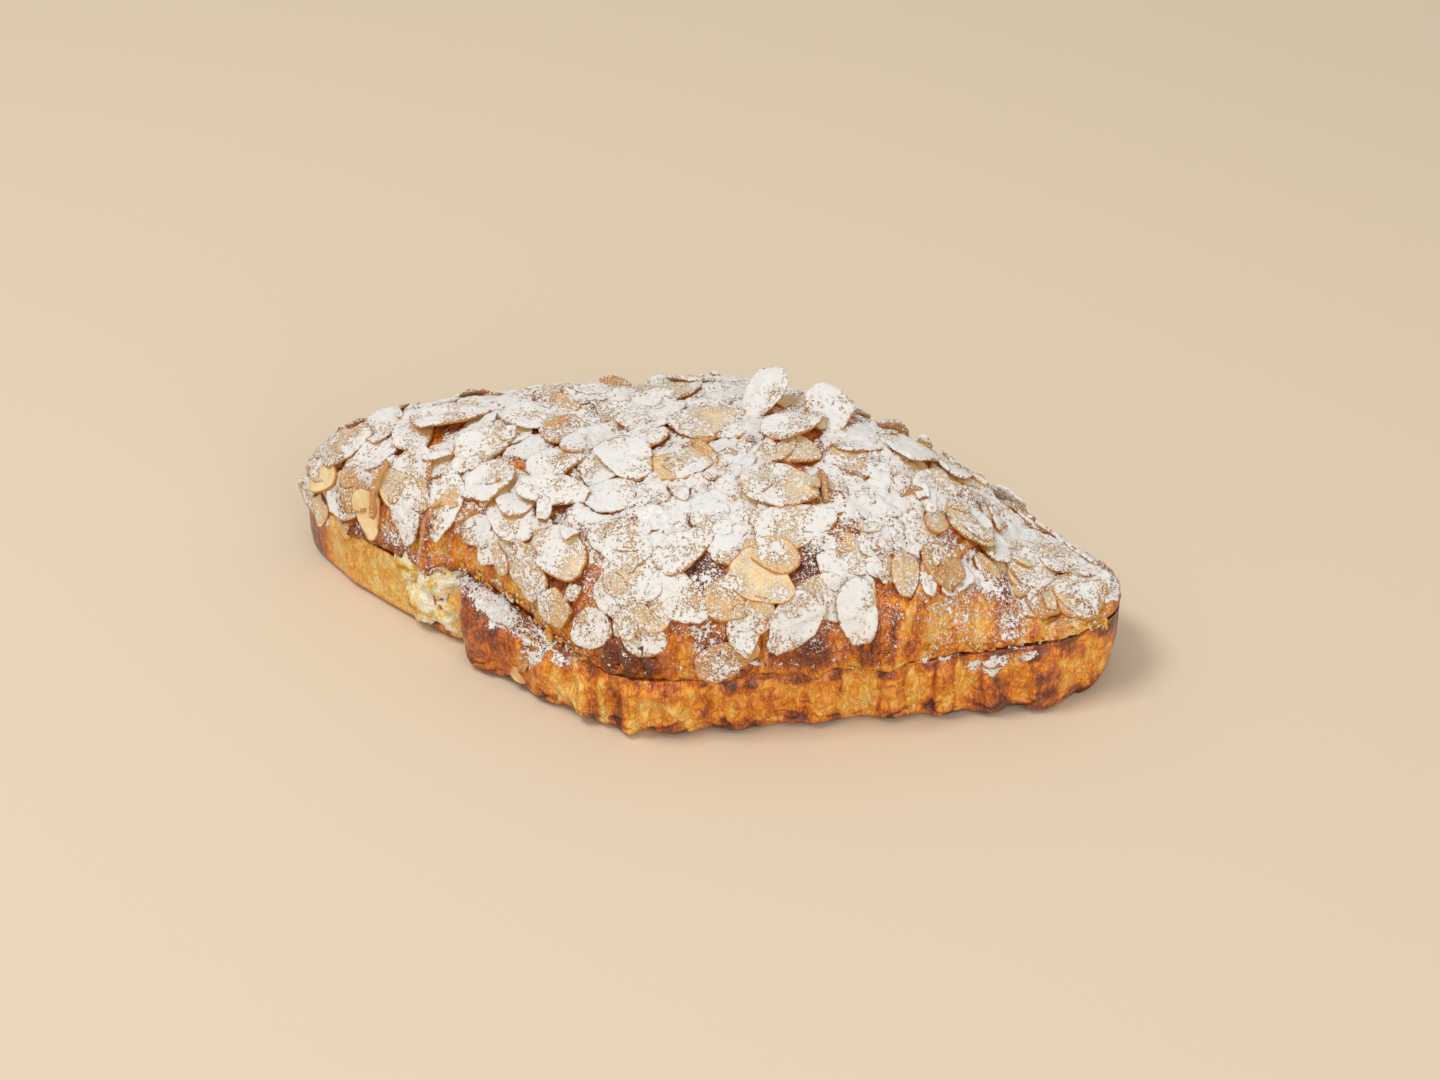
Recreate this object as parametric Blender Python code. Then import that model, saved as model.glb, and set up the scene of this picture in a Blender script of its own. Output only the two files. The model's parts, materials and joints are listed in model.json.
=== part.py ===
"""Almond croissant: split through its middle, filled with almond cream and strewn with sliced almonds.

The long axis runs along X, the side that is seen first faces -Y, and the flat underside lies on z = 0.
Lengths are in metres. Three solids stand on each other: the bottom half, the almond cream that runs
through the pastry and wells out at the front left, and the lid with the almond flakes baked onto it.

Places on the pastry are given by a station and an angle. The station runs from -1 at the left tip to 1
at the right tip. The angle turns round the long axis: 0 at the back rim of the lid, a quarter turn at
its crown, half a turn at its front rim, and on through the underside.
"""

import math
import random

import bmesh
import bpy
import numpy as np
from mathutils import Matrix, Vector, noise
from mathutils.bvhtree import BVHTree

MM = 0.001

# Driving dimensions of the pastry
LENGTH = 170 * MM
WIDTH = 93 * MM
BOW = 1.5 * MM
WIDEST_STATION = -0.01
LEFT_TIP_HALF_WIDTH = 8 * MM
RIGHT_TIP_HALF_WIDTH = 10 * MM
SEAM_HEIGHT = 14 * MM
SEAM_RISE_AT_RIGHT_TIP = 2.5 * MM
RIM_GAP = 0.8 * MM
RIM_TUCK = 1.3 * MM
RIM_TUCK_HEIGHT = 3 * MM
HOLLOW_DEPTH = 2 * MM
HOLLOW_SHARE = 0.25
FIT_GAP = 0.3 * MM
SOLE_DEPTH = 1.2 * MM
SOLE_EDGE_RADIUS = 2.5 * MM
SIDE_TURN = 4 / 6
LEAST_REACH = 1 * MM

# Height of the crown of the lid at a few stations
CROWN = (
    (-1.00, 22.5 * MM),
    (-0.80, 28.5 * MM),
    (-0.50, 34 * MM),
    (-0.20, 36.5 * MM),
    (0.10, 40 * MM),
    (0.35, 40 * MM),
    (0.58, 32 * MM),
    (0.78, 20.5 * MM),
    (1.00, 21.0 * MM),
)

# How the outlines are rounded: 2 is an ellipse, and a larger value is squarer
DOME_SQUARENESS = 2.25
PLAN_SHARPNESS = 1.02
WAIST_ROUNDING = 0.07
LEFT_BLUNTNESS = 18
RIGHT_BLUNTNESS = 20

# Rings of vertices along each solid and vertices round it
LID_RINGS, BASE_RINGS, CREAM_RINGS = 38, 52, 18
LID_AROUND, BASE_AROUND, CREAM_AROUND = 24, 24, 12
EVEN_SPACING = 0.55

# Each wrap of dough ends in an edge: its station, its lean along the crust towards the front, and its step
LID_WRAPS = (
    (-0.80, 0.05, 1.2 * MM),
    (-0.52, 0.07, 1.8 * MM),
    (-0.16, 0.10, 1.6 * MM),
    (0.24, 0.06, 1.4 * MM),
    (0.68, -0.10, 2.2 * MM),
    (0.90, 0.04, 1.2 * MM),
)
BASE_WRAPS = (
    (-0.82, 0.04, 1.0 * MM),
    (-0.44, 0.03, 4.0 * MM),
    (0.16, 0.04, 1.2 * MM),
    (0.88, 0.05, 2.0 * MM),
)
WRAP_LENGTH = 0.40
EDGE_SOFTNESS = 0.03
WRAP_RISE_SHARE = 0.6

# The front of the bottom half stands out under the lid here, as a ledge of crust
LEDGE_LEFT, LEDGE_PEAK, LEDGE_RIGHT = -0.57, -0.46, -0.04
LEDGE_DEPTH = 3 * MM
LEDGE_RISE = 3 * MM

# The sides of the bottom half show ribs of cut layers, smooth at the left end, and all crust is a little uneven
RIB_DEPTH = 0.7 * MM
RIB_PITCH = 11 * MM
RIB_SWAY = 3 * MM
RIB_FADE = 3 * MM
RIBS_FROM, RIBS_FULL = -0.66, -0.45
UNEVENNESS = 0.8 * MM
UNEVEN_SCALE = 20 * MM
UNEVEN_FROM_RIM = 6 * MM

# Almond cream wells out in lumps between the ledge and the left end: centre, radius
WELL_LUMPS = (
    (Vector((-51.5 * MM, -20.0 * MM, 13.2 * MM)), 5.0 * MM),
    (Vector((-45.5 * MM, -22.6 * MM, 13.8 * MM)), 5.6 * MM),
    (Vector((-48.5 * MM, -21.6 * MM, 6.2 * MM)), 5.8 * MM),
    (Vector((-42.8 * MM, -23.4 * MM, 5.8 * MM)), 5.2 * MM),
)
LUMP_FLATNESS = 0.75
LUMP_ROUGHNESS = 0.9 * MM
ROOM_GROWTH = 1.3 * FIT_GAP
CREAM_REACH = 0.80
CREAM_FILL = 0.75
CREAM_LENGTH = 0.92

# Almond flakes
FLAKE_LENGTH = 14.5 * MM
FLAKE_WIDTH = 9.8 * MM
FLAKE_THICKNESS = 1.1 * MM
FLAKE_SINK = 0.5 * MM
FLAKE_CORNERS = 8
FLAKE_POINTEDNESS = 0.22
FLAKE_COUNT = 140
FLAKE_SPACING = 7.2 * MM
STEEPEST_LEAN = 0.45
RAY_START = 14 * MM
RAY_DEPTH = 5 * MM
LOWEST_FACING = 0.2
LAST_FLAKE_STATION = 0.92
SEED = 7

# Colour and roughness of each solid
FINISHES = {
    "top_half": ((0.80, 0.66, 0.48, 1.0), 0.8),
    "bottom_half": ((0.60, 0.29, 0.09, 1.0), 0.6),
    "almond_cream": ((0.90, 0.78, 0.42, 1.0), 0.7),
}
SHARP_ANGLE = math.radians(35)

# Flakes placed by hand, each laid on the ones before it: station, angle, turn of the long axis from +X in
# degrees, length and width in mm, the share of the far end that is kept, and the slope of those that stand
CHOSEN_FLAKES = (
    (-0.90, 138, 18, 11, 9, 1.0, None),
    (-0.85, 108, -40, 13, 10, 1.0, None),
    (-0.74, 158, 76, 11, 7, 1.0, None),
    (-0.62, 88, -20, 17, 10, 1.0, None),
    (-0.63, 148, 70, 13, 8, 1.0, None),
    (-0.49, 104, -45, 14, 9, 1.0, None),
    (-0.46, 70, -50, 14, 10, 1.0, None),
    (-0.41, 87, -40, 12, 10, 1.0, None),
    (-0.44, 127, 86, 13, 11, 0.5, None),
    (-0.53, 140, 99, 14, 7, 1.0, None),
    (-0.31, 90, -60, 13, 10, 0.6, None),
    (-0.29, 106, -53, 13, 9, 1.0, None),
    (-0.25, 92, -67, 15, 6, 1.0, None),
    (-0.27, 119, -9, 15, 8, 1.0, None),
    (-0.13, 82, -40, 14, 11, 1.0, None),
    (-0.13, 101, 34, 14, 11, 1.0, None),
    (-0.26, 157, 28, 14, 8, 1.0, None),
    (-0.20, 141, 26, 14, 10, 1.0, None),
    (-0.18, 164, 17, 10, 7, 0.6, None),
    (-0.04, 133, 34, 13, 9, 0.6, None),
    (0.02, 117, -30, 14, 7, 1.0, None),
    (0.00, 83, -48, 16, 12, 1.0, None),
    (0.08, 131, -34, 13, 8, 1.0, None),
    (0.09, 149, 35, 13, 9, 1.0, None),
    (0.01, 158, 228, 15, 9, 0.5, None),
    (0.21, 173, -20, 13, 7, 1.0, None),
    (0.24, 162, 96, 11, 7, 1.0, None),
    (0.34, 160, 129, 14, 9, 1.0, None),
    (0.26, 142, 40, 14, 10, 1.0, None),
    (0.30, 123, -26, 17, 9, 1.0, None),
    (0.24, 108, 5, 15, 12, 1.0, None),
    (0.23, 91, 0, 12, 9, 1.0, None),
    (0.11, 72, 100, 11, 9, 1.0, -0.7),
    (0.27, 72, 70, 12, 10, 1.0, -0.5),
    (0.21, 84, -50, 14, 9, 1.0, None),
    (0.37, 80, -50, 15, 8, 1.0, None),
    (0.47, 68, -70, 16, 11, 1.0, None),
    (0.47, 155, 74, 14, 8, 1.0, None),
    (0.55, 132, 72, 9, 6, 1.0, None),
    (0.60, 129, 84, 8, 5, 1.0, None),
    (0.65, 125, 117, 9, 6, 1.0, None),
    (0.58, 99, -64, 10, 7, 0.3, None),
    (0.84, 119, 93, 8, 6, 1.0, None),
    (0.87, 72, -60, 14, 9, 1.0, None),
    (0.91, 110, 75, 12, 9, 1.0, None),
)


def smoothstep(low, high, value):
    """0 below low, 1 above high, and a smooth rise between them."""
    share = min(1.0, max(0.0, (value - low) / (high - low)))
    return share * share * (3 - 2 * share)


def rounded(value, squareness):
    """The signed power that turns a circle into a superellipse."""
    return math.copysign(abs(value) ** (2 / squareness), value)


def half_width(station):
    """Half the width in plan, a lozenge that is rounded at its widest and has blunt tips."""
    tip = LEFT_TIP_HALF_WIDTH if station < 0 else RIGHT_TIP_HALF_WIDTH
    from_widest = math.hypot(station - WIDEST_STATION * (1 - station**2), WAIST_ROUNDING)
    return tip + (WIDTH / 2 - tip) * (1 - from_widest**PLAN_SHARPNESS)


def middle(station):
    """The long axis bows towards the back at both tips."""
    return BOW * station**2


def crown_height(station):
    """A smooth curve through the heights of the crown."""
    place = min(max(station, CROWN[0][0]), CROWN[-1][0])
    number = max(i for i in range(len(CROWN) - 1) if CROWN[i][0] <= place)
    (start, low), (end, high) = CROWN[number], CROWN[number + 1]
    before, after = CROWN[max(number - 1, 0)], CROWN[min(number + 2, len(CROWN) - 1)]
    rise_in = (high - before[1]) / (end - before[0]) * (end - start)
    rise_out = (after[1] - low) / (after[0] - start) * (end - start)
    share = (place - start) / (end - start)
    blend = smoothstep(0, 1, share)
    leave = share * (1 - share) ** 2
    arrive = share**2 * (1 - share)
    return low + (high - low) * blend + rise_in * leave - rise_out * arrive


def seam_height(station):
    return SEAM_HEIGHT + SEAM_RISE_AT_RIGHT_TIP * smoothstep(0.5, 1.0, station)


def end_rounding(station):
    bluntness = LEFT_BLUNTNESS if station < 0 else RIGHT_BLUNTNESS
    return math.sqrt(max(0.0, 1 - abs(station) ** bluntness))


def wrap_relief(wraps, station, angle):
    """How far the rolled wraps of dough stand out: a step at each edge, which fades towards the middle."""
    relief = 0.0
    for place, lean, step in wraps:
        side = math.copysign(1, place)
        inward = (place - side * lean * math.cos(angle) - station) * side
        if inward > -EDGE_SOFTNESS:
            fade = max(0.0, 1 - inward / WRAP_LENGTH)
            relief = max(relief, step * fade * smoothstep(-EDGE_SOFTNESS, EDGE_SOFTNESS, inward))
    return relief


def ribs(station):
    """The ribs along the sides of the bottom half, which stand unevenly far apart."""
    along = station * LENGTH / 2 + RIB_SWAY * math.sin(9 * station)
    return RIB_DEPTH * math.cos(math.tau * along / RIB_PITCH) * smoothstep(RIBS_FROM, RIBS_FULL, station)


def unevenness(point):
    return UNEVENNESS * noise.noise(point / UNEVEN_SCALE)


def ledge(station):
    """1 where the bottom half stands out furthest at the front under the lid, and 0 away from there."""
    return smoothstep(LEDGE_LEFT, LEDGE_PEAK, station) * (1 - smoothstep(LEDGE_PEAK, LEDGE_RIGHT, station))


def front(angle):
    """0 over the back half, rising to 1 at the front rim."""
    return smoothstep(0.0, 0.8, -math.cos(angle))


def rim_tuck(height_from_seam):
    """How far the crust turns in beside the seam."""
    return RIM_TUCK * (1 - smoothstep(0, RIM_TUCK_HEIGHT, abs(height_from_seam)))


def rim_reach(station, offset):
    """How far the rim of the lid reaches from the middle, on the side that the offset is on."""
    set_back = LEDGE_DEPTH * ledge(station) if offset < 0 else 0.0
    return max(LEAST_REACH, (half_width(station) - set_back - RIM_TUCK) * end_rounding(station))


def parting(station, offset, edge=0.0):
    """The height midway between the halves, at an offset across from the middle. The ledge is lifted."""
    share = abs(offset) / rim_reach(station, offset)
    if offset > 0:
        lifted = 0.0
    elif share <= 1 or edge <= rim_reach(station, offset):
        lifted = smoothstep(0.4, 0.95, share)
    else:
        outward = (-offset - rim_reach(station, offset)) / (edge - rim_reach(station, offset))
        lifted = math.sqrt(max(0.0, 1 - outward**2))
    return seam_height(station) + LEDGE_RISE * ledge(station) * lifted


def hollow_depth(station, offset):
    """How deep each half is hollowed for the cream. The hollow is shallower where the lid is thin."""
    share = min(1.0, abs(offset) / rim_reach(station, offset))
    deepest = min(HOLLOW_DEPTH, HOLLOW_SHARE * (crown_height(station) - seam_height(station)))
    return deepest * end_rounding(station) * (1 - share**4)


def lid_point(station, angle):
    """A point of the lid's crust or, past half a turn, of its hollow underside."""
    closing = end_rounding(station)
    set_back = ledge(station) * front(angle)
    relief = wrap_relief(LID_WRAPS, station, angle)
    width = (half_width(station) + relief - LEDGE_DEPTH * set_back) * closing
    across = rounded(math.cos(angle), DOME_SQUARENESS)
    if math.sin(angle) < 0:
        offset = across * (width - RIM_TUCK * closing)
        height = parting(station, offset) + RIM_GAP / 2 + hollow_depth(station, offset)
        return Vector((station * LENGTH / 2, middle(station) + offset, height))
    rim = seam_height(station) + RIM_GAP / 2 + LEDGE_RISE * set_back
    risen = (crown_height(station) + WRAP_RISE_SHARE * relief - rim) * closing
    rise = risen * rounded(math.sin(angle), DOME_SQUARENESS)
    offset = across * (width - rim_tuck(rise) * closing)
    place = Vector((station * LENGTH / 2, middle(station) + offset, rim + rise))
    bump = unevenness(place) * closing * smoothstep(0, UNEVEN_FROM_RIM, rise)
    return place + Vector((0, across, math.sin(angle))) * bump


def base_point(station, angle):
    """A point of the bottom half: its hollow top over the first half turn, then its side and flat sole."""
    closing = end_rounding(station)
    at_front = smoothstep(-0.2, 0.5, -math.cos(angle))
    wrapped = wrap_relief(BASE_WRAPS, station, angle) * (0.3 + 0.7 * at_front)
    width = (half_width(station) + wrapped) * closing
    if math.sin(angle) > 0:
        edge = width - RIM_TUCK * closing
        offset = rounded(math.cos(angle), DOME_SQUARENESS) * edge
        height = parting(station, offset, edge) - RIM_GAP / 2 - hollow_depth(station, offset)
        return Vector((station * LENGTH / 2, middle(station) + offset, height))
    top = seam_height(station) - RIM_GAP / 2
    side = math.copysign(1, math.cos(angle))
    turned = min(-angle, math.pi + angle) / (math.pi / 2)
    height = max(0.0, top - (top + SOLE_DEPTH) * math.sqrt(closing) * min(1.0, turned / SIDE_TURN))
    drop = top - height
    below_edge = max(0.0, SOLE_EDGE_RADIUS - height)
    undercut = SOLE_EDGE_RADIUS - math.sqrt(max(0.0, SOLE_EDGE_RADIUS**2 - below_edge**2))
    place = Vector((station * LENGTH / 2, middle(station), height))
    uneven = unevenness(place + Vector((0, side * width, 0)))
    relief = (ribs(station) + uneven) * smoothstep(0, RIB_FADE, drop)
    reach = width + (relief - rim_tuck(drop) - undercut) * closing
    place.y += side * reach * min(1.0, (1 - turned) / (1 - SIDE_TURN))
    return place


def cream_point(station, angle):
    """The layer of cream fills the hollow between the halves, a fit gap short of each."""
    side = -1 if math.cos(angle) < 0 else 1
    offset = math.cos(angle) * CREAM_REACH * rim_reach(station * CREAM_LENGTH, side)
    depth = RIM_GAP / 2 + CREAM_FILL * hollow_depth(station * CREAM_LENGTH, offset) - FIT_GAP
    height = parting(station * CREAM_LENGTH, offset) + depth * max(-1.0, min(1.0, 3 * math.sin(angle)))
    return Vector((station * CREAM_LENGTH * LENGTH / 2, middle(station) + offset, height))


def finished(name, shape):
    """A new object in the scene, made from a bmesh."""
    data = bpy.data.meshes.new(name)
    shape.to_mesh(data)
    shape.free()
    thing = bpy.data.objects.new(name, data)
    bpy.context.scene.collection.objects.link(thing)
    return thing


def shaped_sphere(name, around, rings, point):
    """A sphere with its poles at the tips, each of whose vertices is moved to where point() says."""
    shape = bmesh.new()
    bmesh.ops.create_uvsphere(shape, u_segments=around, v_segments=rings, radius=1.0)
    for vertex in shape.verts:
        even = math.asin(max(-1.0, min(1.0, vertex.co.z))) * 2 / math.pi
        station = EVEN_SPACING * even + (1 - EVEN_SPACING) * vertex.co.z
        vertex.co = point(station, math.atan2(vertex.co.y, vertex.co.x))
    bmesh.ops.recalc_face_normals(shape, faces=shape.faces)
    return finished(name, shape)


def cream_well(name, grow=0.0):
    """The lumps of cream that well out, or with grow the same shape enlarged, which cuts room for them."""
    lumps = []
    for centre, radius in WELL_LUMPS:
        shape = bmesh.new()
        bmesh.ops.create_icosphere(shape, subdivisions=2, radius=1.0)
        for vertex in shape.verts:
            outward = vertex.co.normalized()
            rough = LUMP_ROUGHNESS * noise.noise(centre * 300 + outward * 2)
            reach = outward * (radius + rough)
            reach.y *= LUMP_FLATNESS
            vertex.co = centre + reach + outward * grow
            vertex.co.z = max(vertex.co.z, FIT_GAP - grow)
        lumps.append(finished(name, shape))
    for other in lumps[1:]:
        apply_boolean(lumps[0], other, "UNION")
        bpy.data.objects.remove(other)
    return lumps[0]


def apply_boolean(thing, other, operation, solver="EXACT"):
    modifier = thing.modifiers.new("fuse_or_cut", "BOOLEAN")
    modifier.operation = operation
    modifier.solver = solver
    if isinstance(other, bpy.types.Collection):
        modifier.operand_type = "COLLECTION"
        modifier.collection = other
    else:
        modifier.object = other
    graph = bpy.context.evaluated_depsgraph_get()
    mesh = bpy.data.meshes.new_from_object(thing.evaluated_get(graph))
    thing.modifiers.clear()
    thing.data = mesh


def crust_frame(station, angle):
    """A point on the lid's crust with the directions along it, down it towards the front, and out of it."""
    here = lid_point(station, angle)
    along = (lid_point(station + 0.02, angle) - lid_point(station - 0.02, angle)).normalized()
    down = (lid_point(station, angle + 0.06) - lid_point(station, angle - 0.06)).normalized()
    outward = along.cross(down).normalized() * -1
    outward.z = max(outward.z, LOWEST_FACING)
    outward.normalize()
    along = (along - outward * along.dot(outward)).normalized()
    return here, along, along.cross(outward), outward


def flake_outline(length, width, kept):
    """The corners of a sliced almond: an oval with one pointed end, cut off straight if it is broken."""
    corners = []
    for number in range(FLAKE_CORNERS):
        turn = math.tau * (number + 0.5) / FLAKE_CORNERS
        lengthwise = math.cos(turn)
        breadth = math.sin(turn) * (1 - FLAKE_POINTEDNESS * lengthwise)
        corners.append(Vector((min(lengthwise, kept) * length / 2, breadth * width / 2)))
    return corners


class Support:
    """What a flake can come to rest on: the crust of the lid and the flakes that already lie there."""

    def __init__(self, *things):
        self.points, self.faces = [], []
        for thing in things:
            self.add(thing)

    def add(self, thing):
        first = len(self.points)
        self.points.extend(vertex.co.copy() for vertex in thing.data.vertices)
        self.faces.extend([first + corner for corner in face.vertices] for face in thing.data.polygons)
        self.tree = BVHTree.FromPolygons(self.points, self.faces)

    def height(self, point, outward):
        """How far the support stands above a point, against the outward direction, or None beside it."""
        hit, _, _, distance = self.tree.ray_cast(point + outward * RAY_START, -outward, RAY_START + RAY_DEPTH)
        return None if hit is None else RAY_START - distance


def fringe(station):
    """The angle down to which flakes lie on the front: less far over the cream and on the right."""
    over_cream = smoothstep(-0.72, -0.66, station) * (1 - smoothstep(-0.44, -0.38, station))
    on_right = smoothstep(0.46, 0.54, station)
    return math.radians(166 - 24 * over_cream - 40 * on_right)


def scattered_flakes(chosen):
    """Flakes all over the lid that keep their distance from each other and from the chosen ones."""
    draw = random.Random(SEED)
    centres = [lid_point(station, math.radians(angle)) for station, angle, *_ in chosen]
    flakes = []
    while len(centres) < FLAKE_COUNT:
        station = draw.uniform(-LAST_FLAKE_STATION, LAST_FLAKE_STATION)
        angle = draw.uniform(math.radians(14), fringe(station))
        spin = draw.uniform(0, 360)
        size = draw.uniform(0.8, 1.08)
        kept = draw.choice((1.0, 1.0, 1.0, 0.55, 0.3))
        centre = lid_point(station, angle)
        if min((centre - other).length for other in centres) < FLAKE_SPACING * draw.uniform(0.75, 1.0):
            continue
        centres.append(centre)
        length, width = size * FLAKE_LENGTH / MM, size * FLAKE_WIDTH / MM
        flakes.append((station, math.degrees(angle), spin, length, width, kept, None))
    return flakes


def laid_flake(flake, lid_support, base_support):
    """One flake, lowered on to what lies under it until it rests there, as an object of its own."""
    station, angle, spin, length, width, kept, standing = flake
    here, along, down, outward = crust_frame(station, math.radians(angle))
    lengthwise = along * math.cos(math.radians(spin)) + down * math.sin(math.radians(spin))
    breadthwise = outward.cross(lengthwise)
    corners = flake_outline(length * MM, width * MM, kept)
    feet = []
    for corner in corners + [corner * 0.5 for corner in corners] + [Vector((0, 0))]:
        point = here + lengthwise * corner.x + breadthwise * corner.y
        on_lid = lid_support.height(point, outward)
        on_base = base_support.height(point, outward)
        if on_base is not None:
            on_base += FLAKE_SINK + 2 * FIT_GAP
        heights = [height for height in (on_lid, on_base) if height is not None]
        if heights:
            feet.append((corner.x, corner.y, max(heights)))
    rows = np.array([(1.0, x, y) for x, y, _ in feet])
    heights = np.array([height for _, _, height in feet])
    lean = np.linalg.lstsq(rows, heights, rcond=None)[0][1:]
    lean = np.clip(lean, -STEEPEST_LEAN, STEEPEST_LEAN)
    if standing is not None:
        lean[0] = standing
    rest = float(np.max(heights - rows[:, 1:] @ lean)) - FLAKE_SINK
    shape = bmesh.new()
    bmesh.ops.create_circle(shape, cap_ends=True, segments=FLAKE_CORNERS, radius=1.0)
    for vertex, corner in zip(shape.verts, corners):
        height = rest + lean[0] * corner.x + lean[1] * corner.y
        vertex.co = here + lengthwise * corner.x + breadthwise * corner.y + outward * height
    made = bmesh.ops.extrude_face_region(shape, geom=shape.faces[:])
    raised = [item for item in made["geom"] if isinstance(item, bmesh.types.BMVert)]
    bmesh.ops.translate(shape, verts=raised, vec=outward * FLAKE_THICKNESS)
    bmesh.ops.recalc_face_normals(shape, faces=shape.faces)
    return finished("flake", shape)


def keep_largest_shell(thing):
    """Loose scraps and the walls of sealed hollows go, so that one closed body stays."""
    shape = bmesh.new()
    shape.from_mesh(thing.data)
    unseen = set(shape.faces)
    shells = []
    while unseen:
        shell = [unseen.pop()]
        for face in shell:
            for edge in face.edges:
                for neighbour in edge.link_faces:
                    if neighbour in unseen:
                        unseen.remove(neighbour)
                        shell.append(neighbour)
        shells.append(shell)
    shells.sort(key=len)
    for shell in shells[:-1]:
        bmesh.ops.delete(shape, geom=shell, context="FACES")
    shape.to_mesh(thing.data)
    shape.free()


def fuse_flakes(lid, base, cream):
    """Lay every flake, the chosen ones last and on top, and join them to the lid in one union."""
    lid_support, base_support = Support(lid), Support(base, cream)
    laid = bpy.data.collections.new("laid_flakes")
    bpy.context.scene.collection.children.link(laid)
    for flake in scattered_flakes(CHOSEN_FLAKES) + list(CHOSEN_FLAKES):
        thing = laid_flake(flake, lid_support, base_support)
        lid_support.add(thing)
        bpy.context.scene.collection.objects.unlink(thing)
        laid.objects.link(thing)
    apply_boolean(lid, laid, "UNION")
    for thing in list(laid.objects):
        bpy.data.objects.remove(thing)
    bpy.data.collections.remove(laid)


def finish_solids(things):
    """Put the solids in one collection, each in its own colour, with the middle of their base at 0, 0, 0."""
    collection = bpy.data.collections.new("almond_croissant")
    bpy.context.scene.collection.children.link(collection)
    corners = np.array([vertex.co[:] for thing in things for vertex in thing.data.vertices])
    low, high = corners.min(axis=0), corners.max(axis=0)
    for thing in things:
        thing.data.transform(Matrix.Translation((-(low[0] + high[0]) / 2, -(low[1] + high[1]) / 2, -low[2])))
        thing.data.shade_smooth()
        thing.data.set_sharp_from_angle(angle=SHARP_ANGLE)
        colour, roughness = FINISHES[thing.name]
        material = bpy.data.materials.new(thing.name)
        material.use_nodes = True
        shader = material.node_tree.nodes["Principled BSDF"]
        shader.inputs["Base Color"].default_value = colour
        shader.inputs["Roughness"].default_value = roughness
        shader.inputs["Metallic"].default_value = 0.0
        thing.data.materials.clear()
        thing.data.materials.append(material)
        bpy.context.scene.collection.objects.unlink(thing)
        collection.objects.link(thing)


def main():
    for old in list(bpy.data.objects):
        bpy.data.objects.remove(old, do_unlink=True)
    lid = shaped_sphere("top_half", LID_AROUND, LID_RINGS, lid_point)
    base = shaped_sphere("bottom_half", BASE_AROUND, BASE_RINGS, base_point)
    cream = shaped_sphere("almond_cream", CREAM_AROUND, CREAM_RINGS, cream_point)
    well = cream_well("well")
    apply_boolean(cream, well, "UNION")
    bpy.data.objects.remove(well)
    room = cream_well("room", grow=ROOM_GROWTH)
    fuse_flakes(lid, base, cream)
    for half in (lid, base):
        apply_boolean(half, room, "DIFFERENCE")
        keep_largest_shell(half)
    bpy.data.objects.remove(room)
    finish_solids((lid, base, cream))


main()
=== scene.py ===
# %% [markdown]
# # An almond croissant, dusted with icing sugar
# A day-old croissant is split, spread with almond cream, closed, strewn with sliced almonds, baked again and
# dusted with sugar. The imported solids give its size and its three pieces. This lesson builds the surface that
# the eye sees: two halves of laminated crust, the cream between them, a hundred and forty almond flakes with
# broken pieces among them, and icing sugar over it all.

# %% Load the frame
import json
import math
import random
from collections import namedtuple

import bmesh
import bpy
import numpy as np
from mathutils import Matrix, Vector, noise
from mathutils.bvhtree import BVHTree

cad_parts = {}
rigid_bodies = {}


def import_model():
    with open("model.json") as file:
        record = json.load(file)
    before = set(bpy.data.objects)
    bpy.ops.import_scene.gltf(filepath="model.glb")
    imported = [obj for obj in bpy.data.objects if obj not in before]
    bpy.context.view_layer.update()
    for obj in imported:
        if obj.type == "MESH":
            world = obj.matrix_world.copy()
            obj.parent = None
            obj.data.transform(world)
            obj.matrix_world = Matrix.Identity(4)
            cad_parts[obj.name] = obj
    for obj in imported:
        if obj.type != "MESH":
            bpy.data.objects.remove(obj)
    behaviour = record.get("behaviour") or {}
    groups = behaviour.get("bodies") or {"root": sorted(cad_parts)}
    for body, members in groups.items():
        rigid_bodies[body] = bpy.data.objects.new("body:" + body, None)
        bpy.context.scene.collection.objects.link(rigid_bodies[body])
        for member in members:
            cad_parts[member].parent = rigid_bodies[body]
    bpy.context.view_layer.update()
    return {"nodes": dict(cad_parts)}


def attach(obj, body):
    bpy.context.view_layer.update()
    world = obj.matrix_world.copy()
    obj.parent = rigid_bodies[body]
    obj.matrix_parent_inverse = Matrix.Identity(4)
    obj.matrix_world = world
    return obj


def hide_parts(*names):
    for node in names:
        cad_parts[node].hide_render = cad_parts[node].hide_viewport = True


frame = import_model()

MM = 0.001
print("solids of the frame:", sorted(frame["nodes"]))

# %% [markdown]
# ## Camera, light and floor
# The pastry is seen from a little above and from its front right, through a long lens. The light is the soft,
# bright light of a window: one large lamp from the upper left, a weaker one from the right, and a pale sky.
# The floor is a plain warm cream.

# %% Camera
def in_scene(name, data):
    """A new object with this data, in the scene."""
    thing = bpy.data.objects.new(name, data)
    bpy.context.scene.collection.objects.link(thing)
    return thing


CAMERA_TURN = math.radians(16.7)
CAMERA_RISE = math.radians(35)
CAMERA_DISTANCE = 0.5588
LENS = 70
SENSOR_WIDTH = 36
NEAREST_SEEN = 0.01
LOOK_HEIGHT = 0.02
LOOK_RIGHT = 0.0046
LOOK_UP = -0.0034

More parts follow.
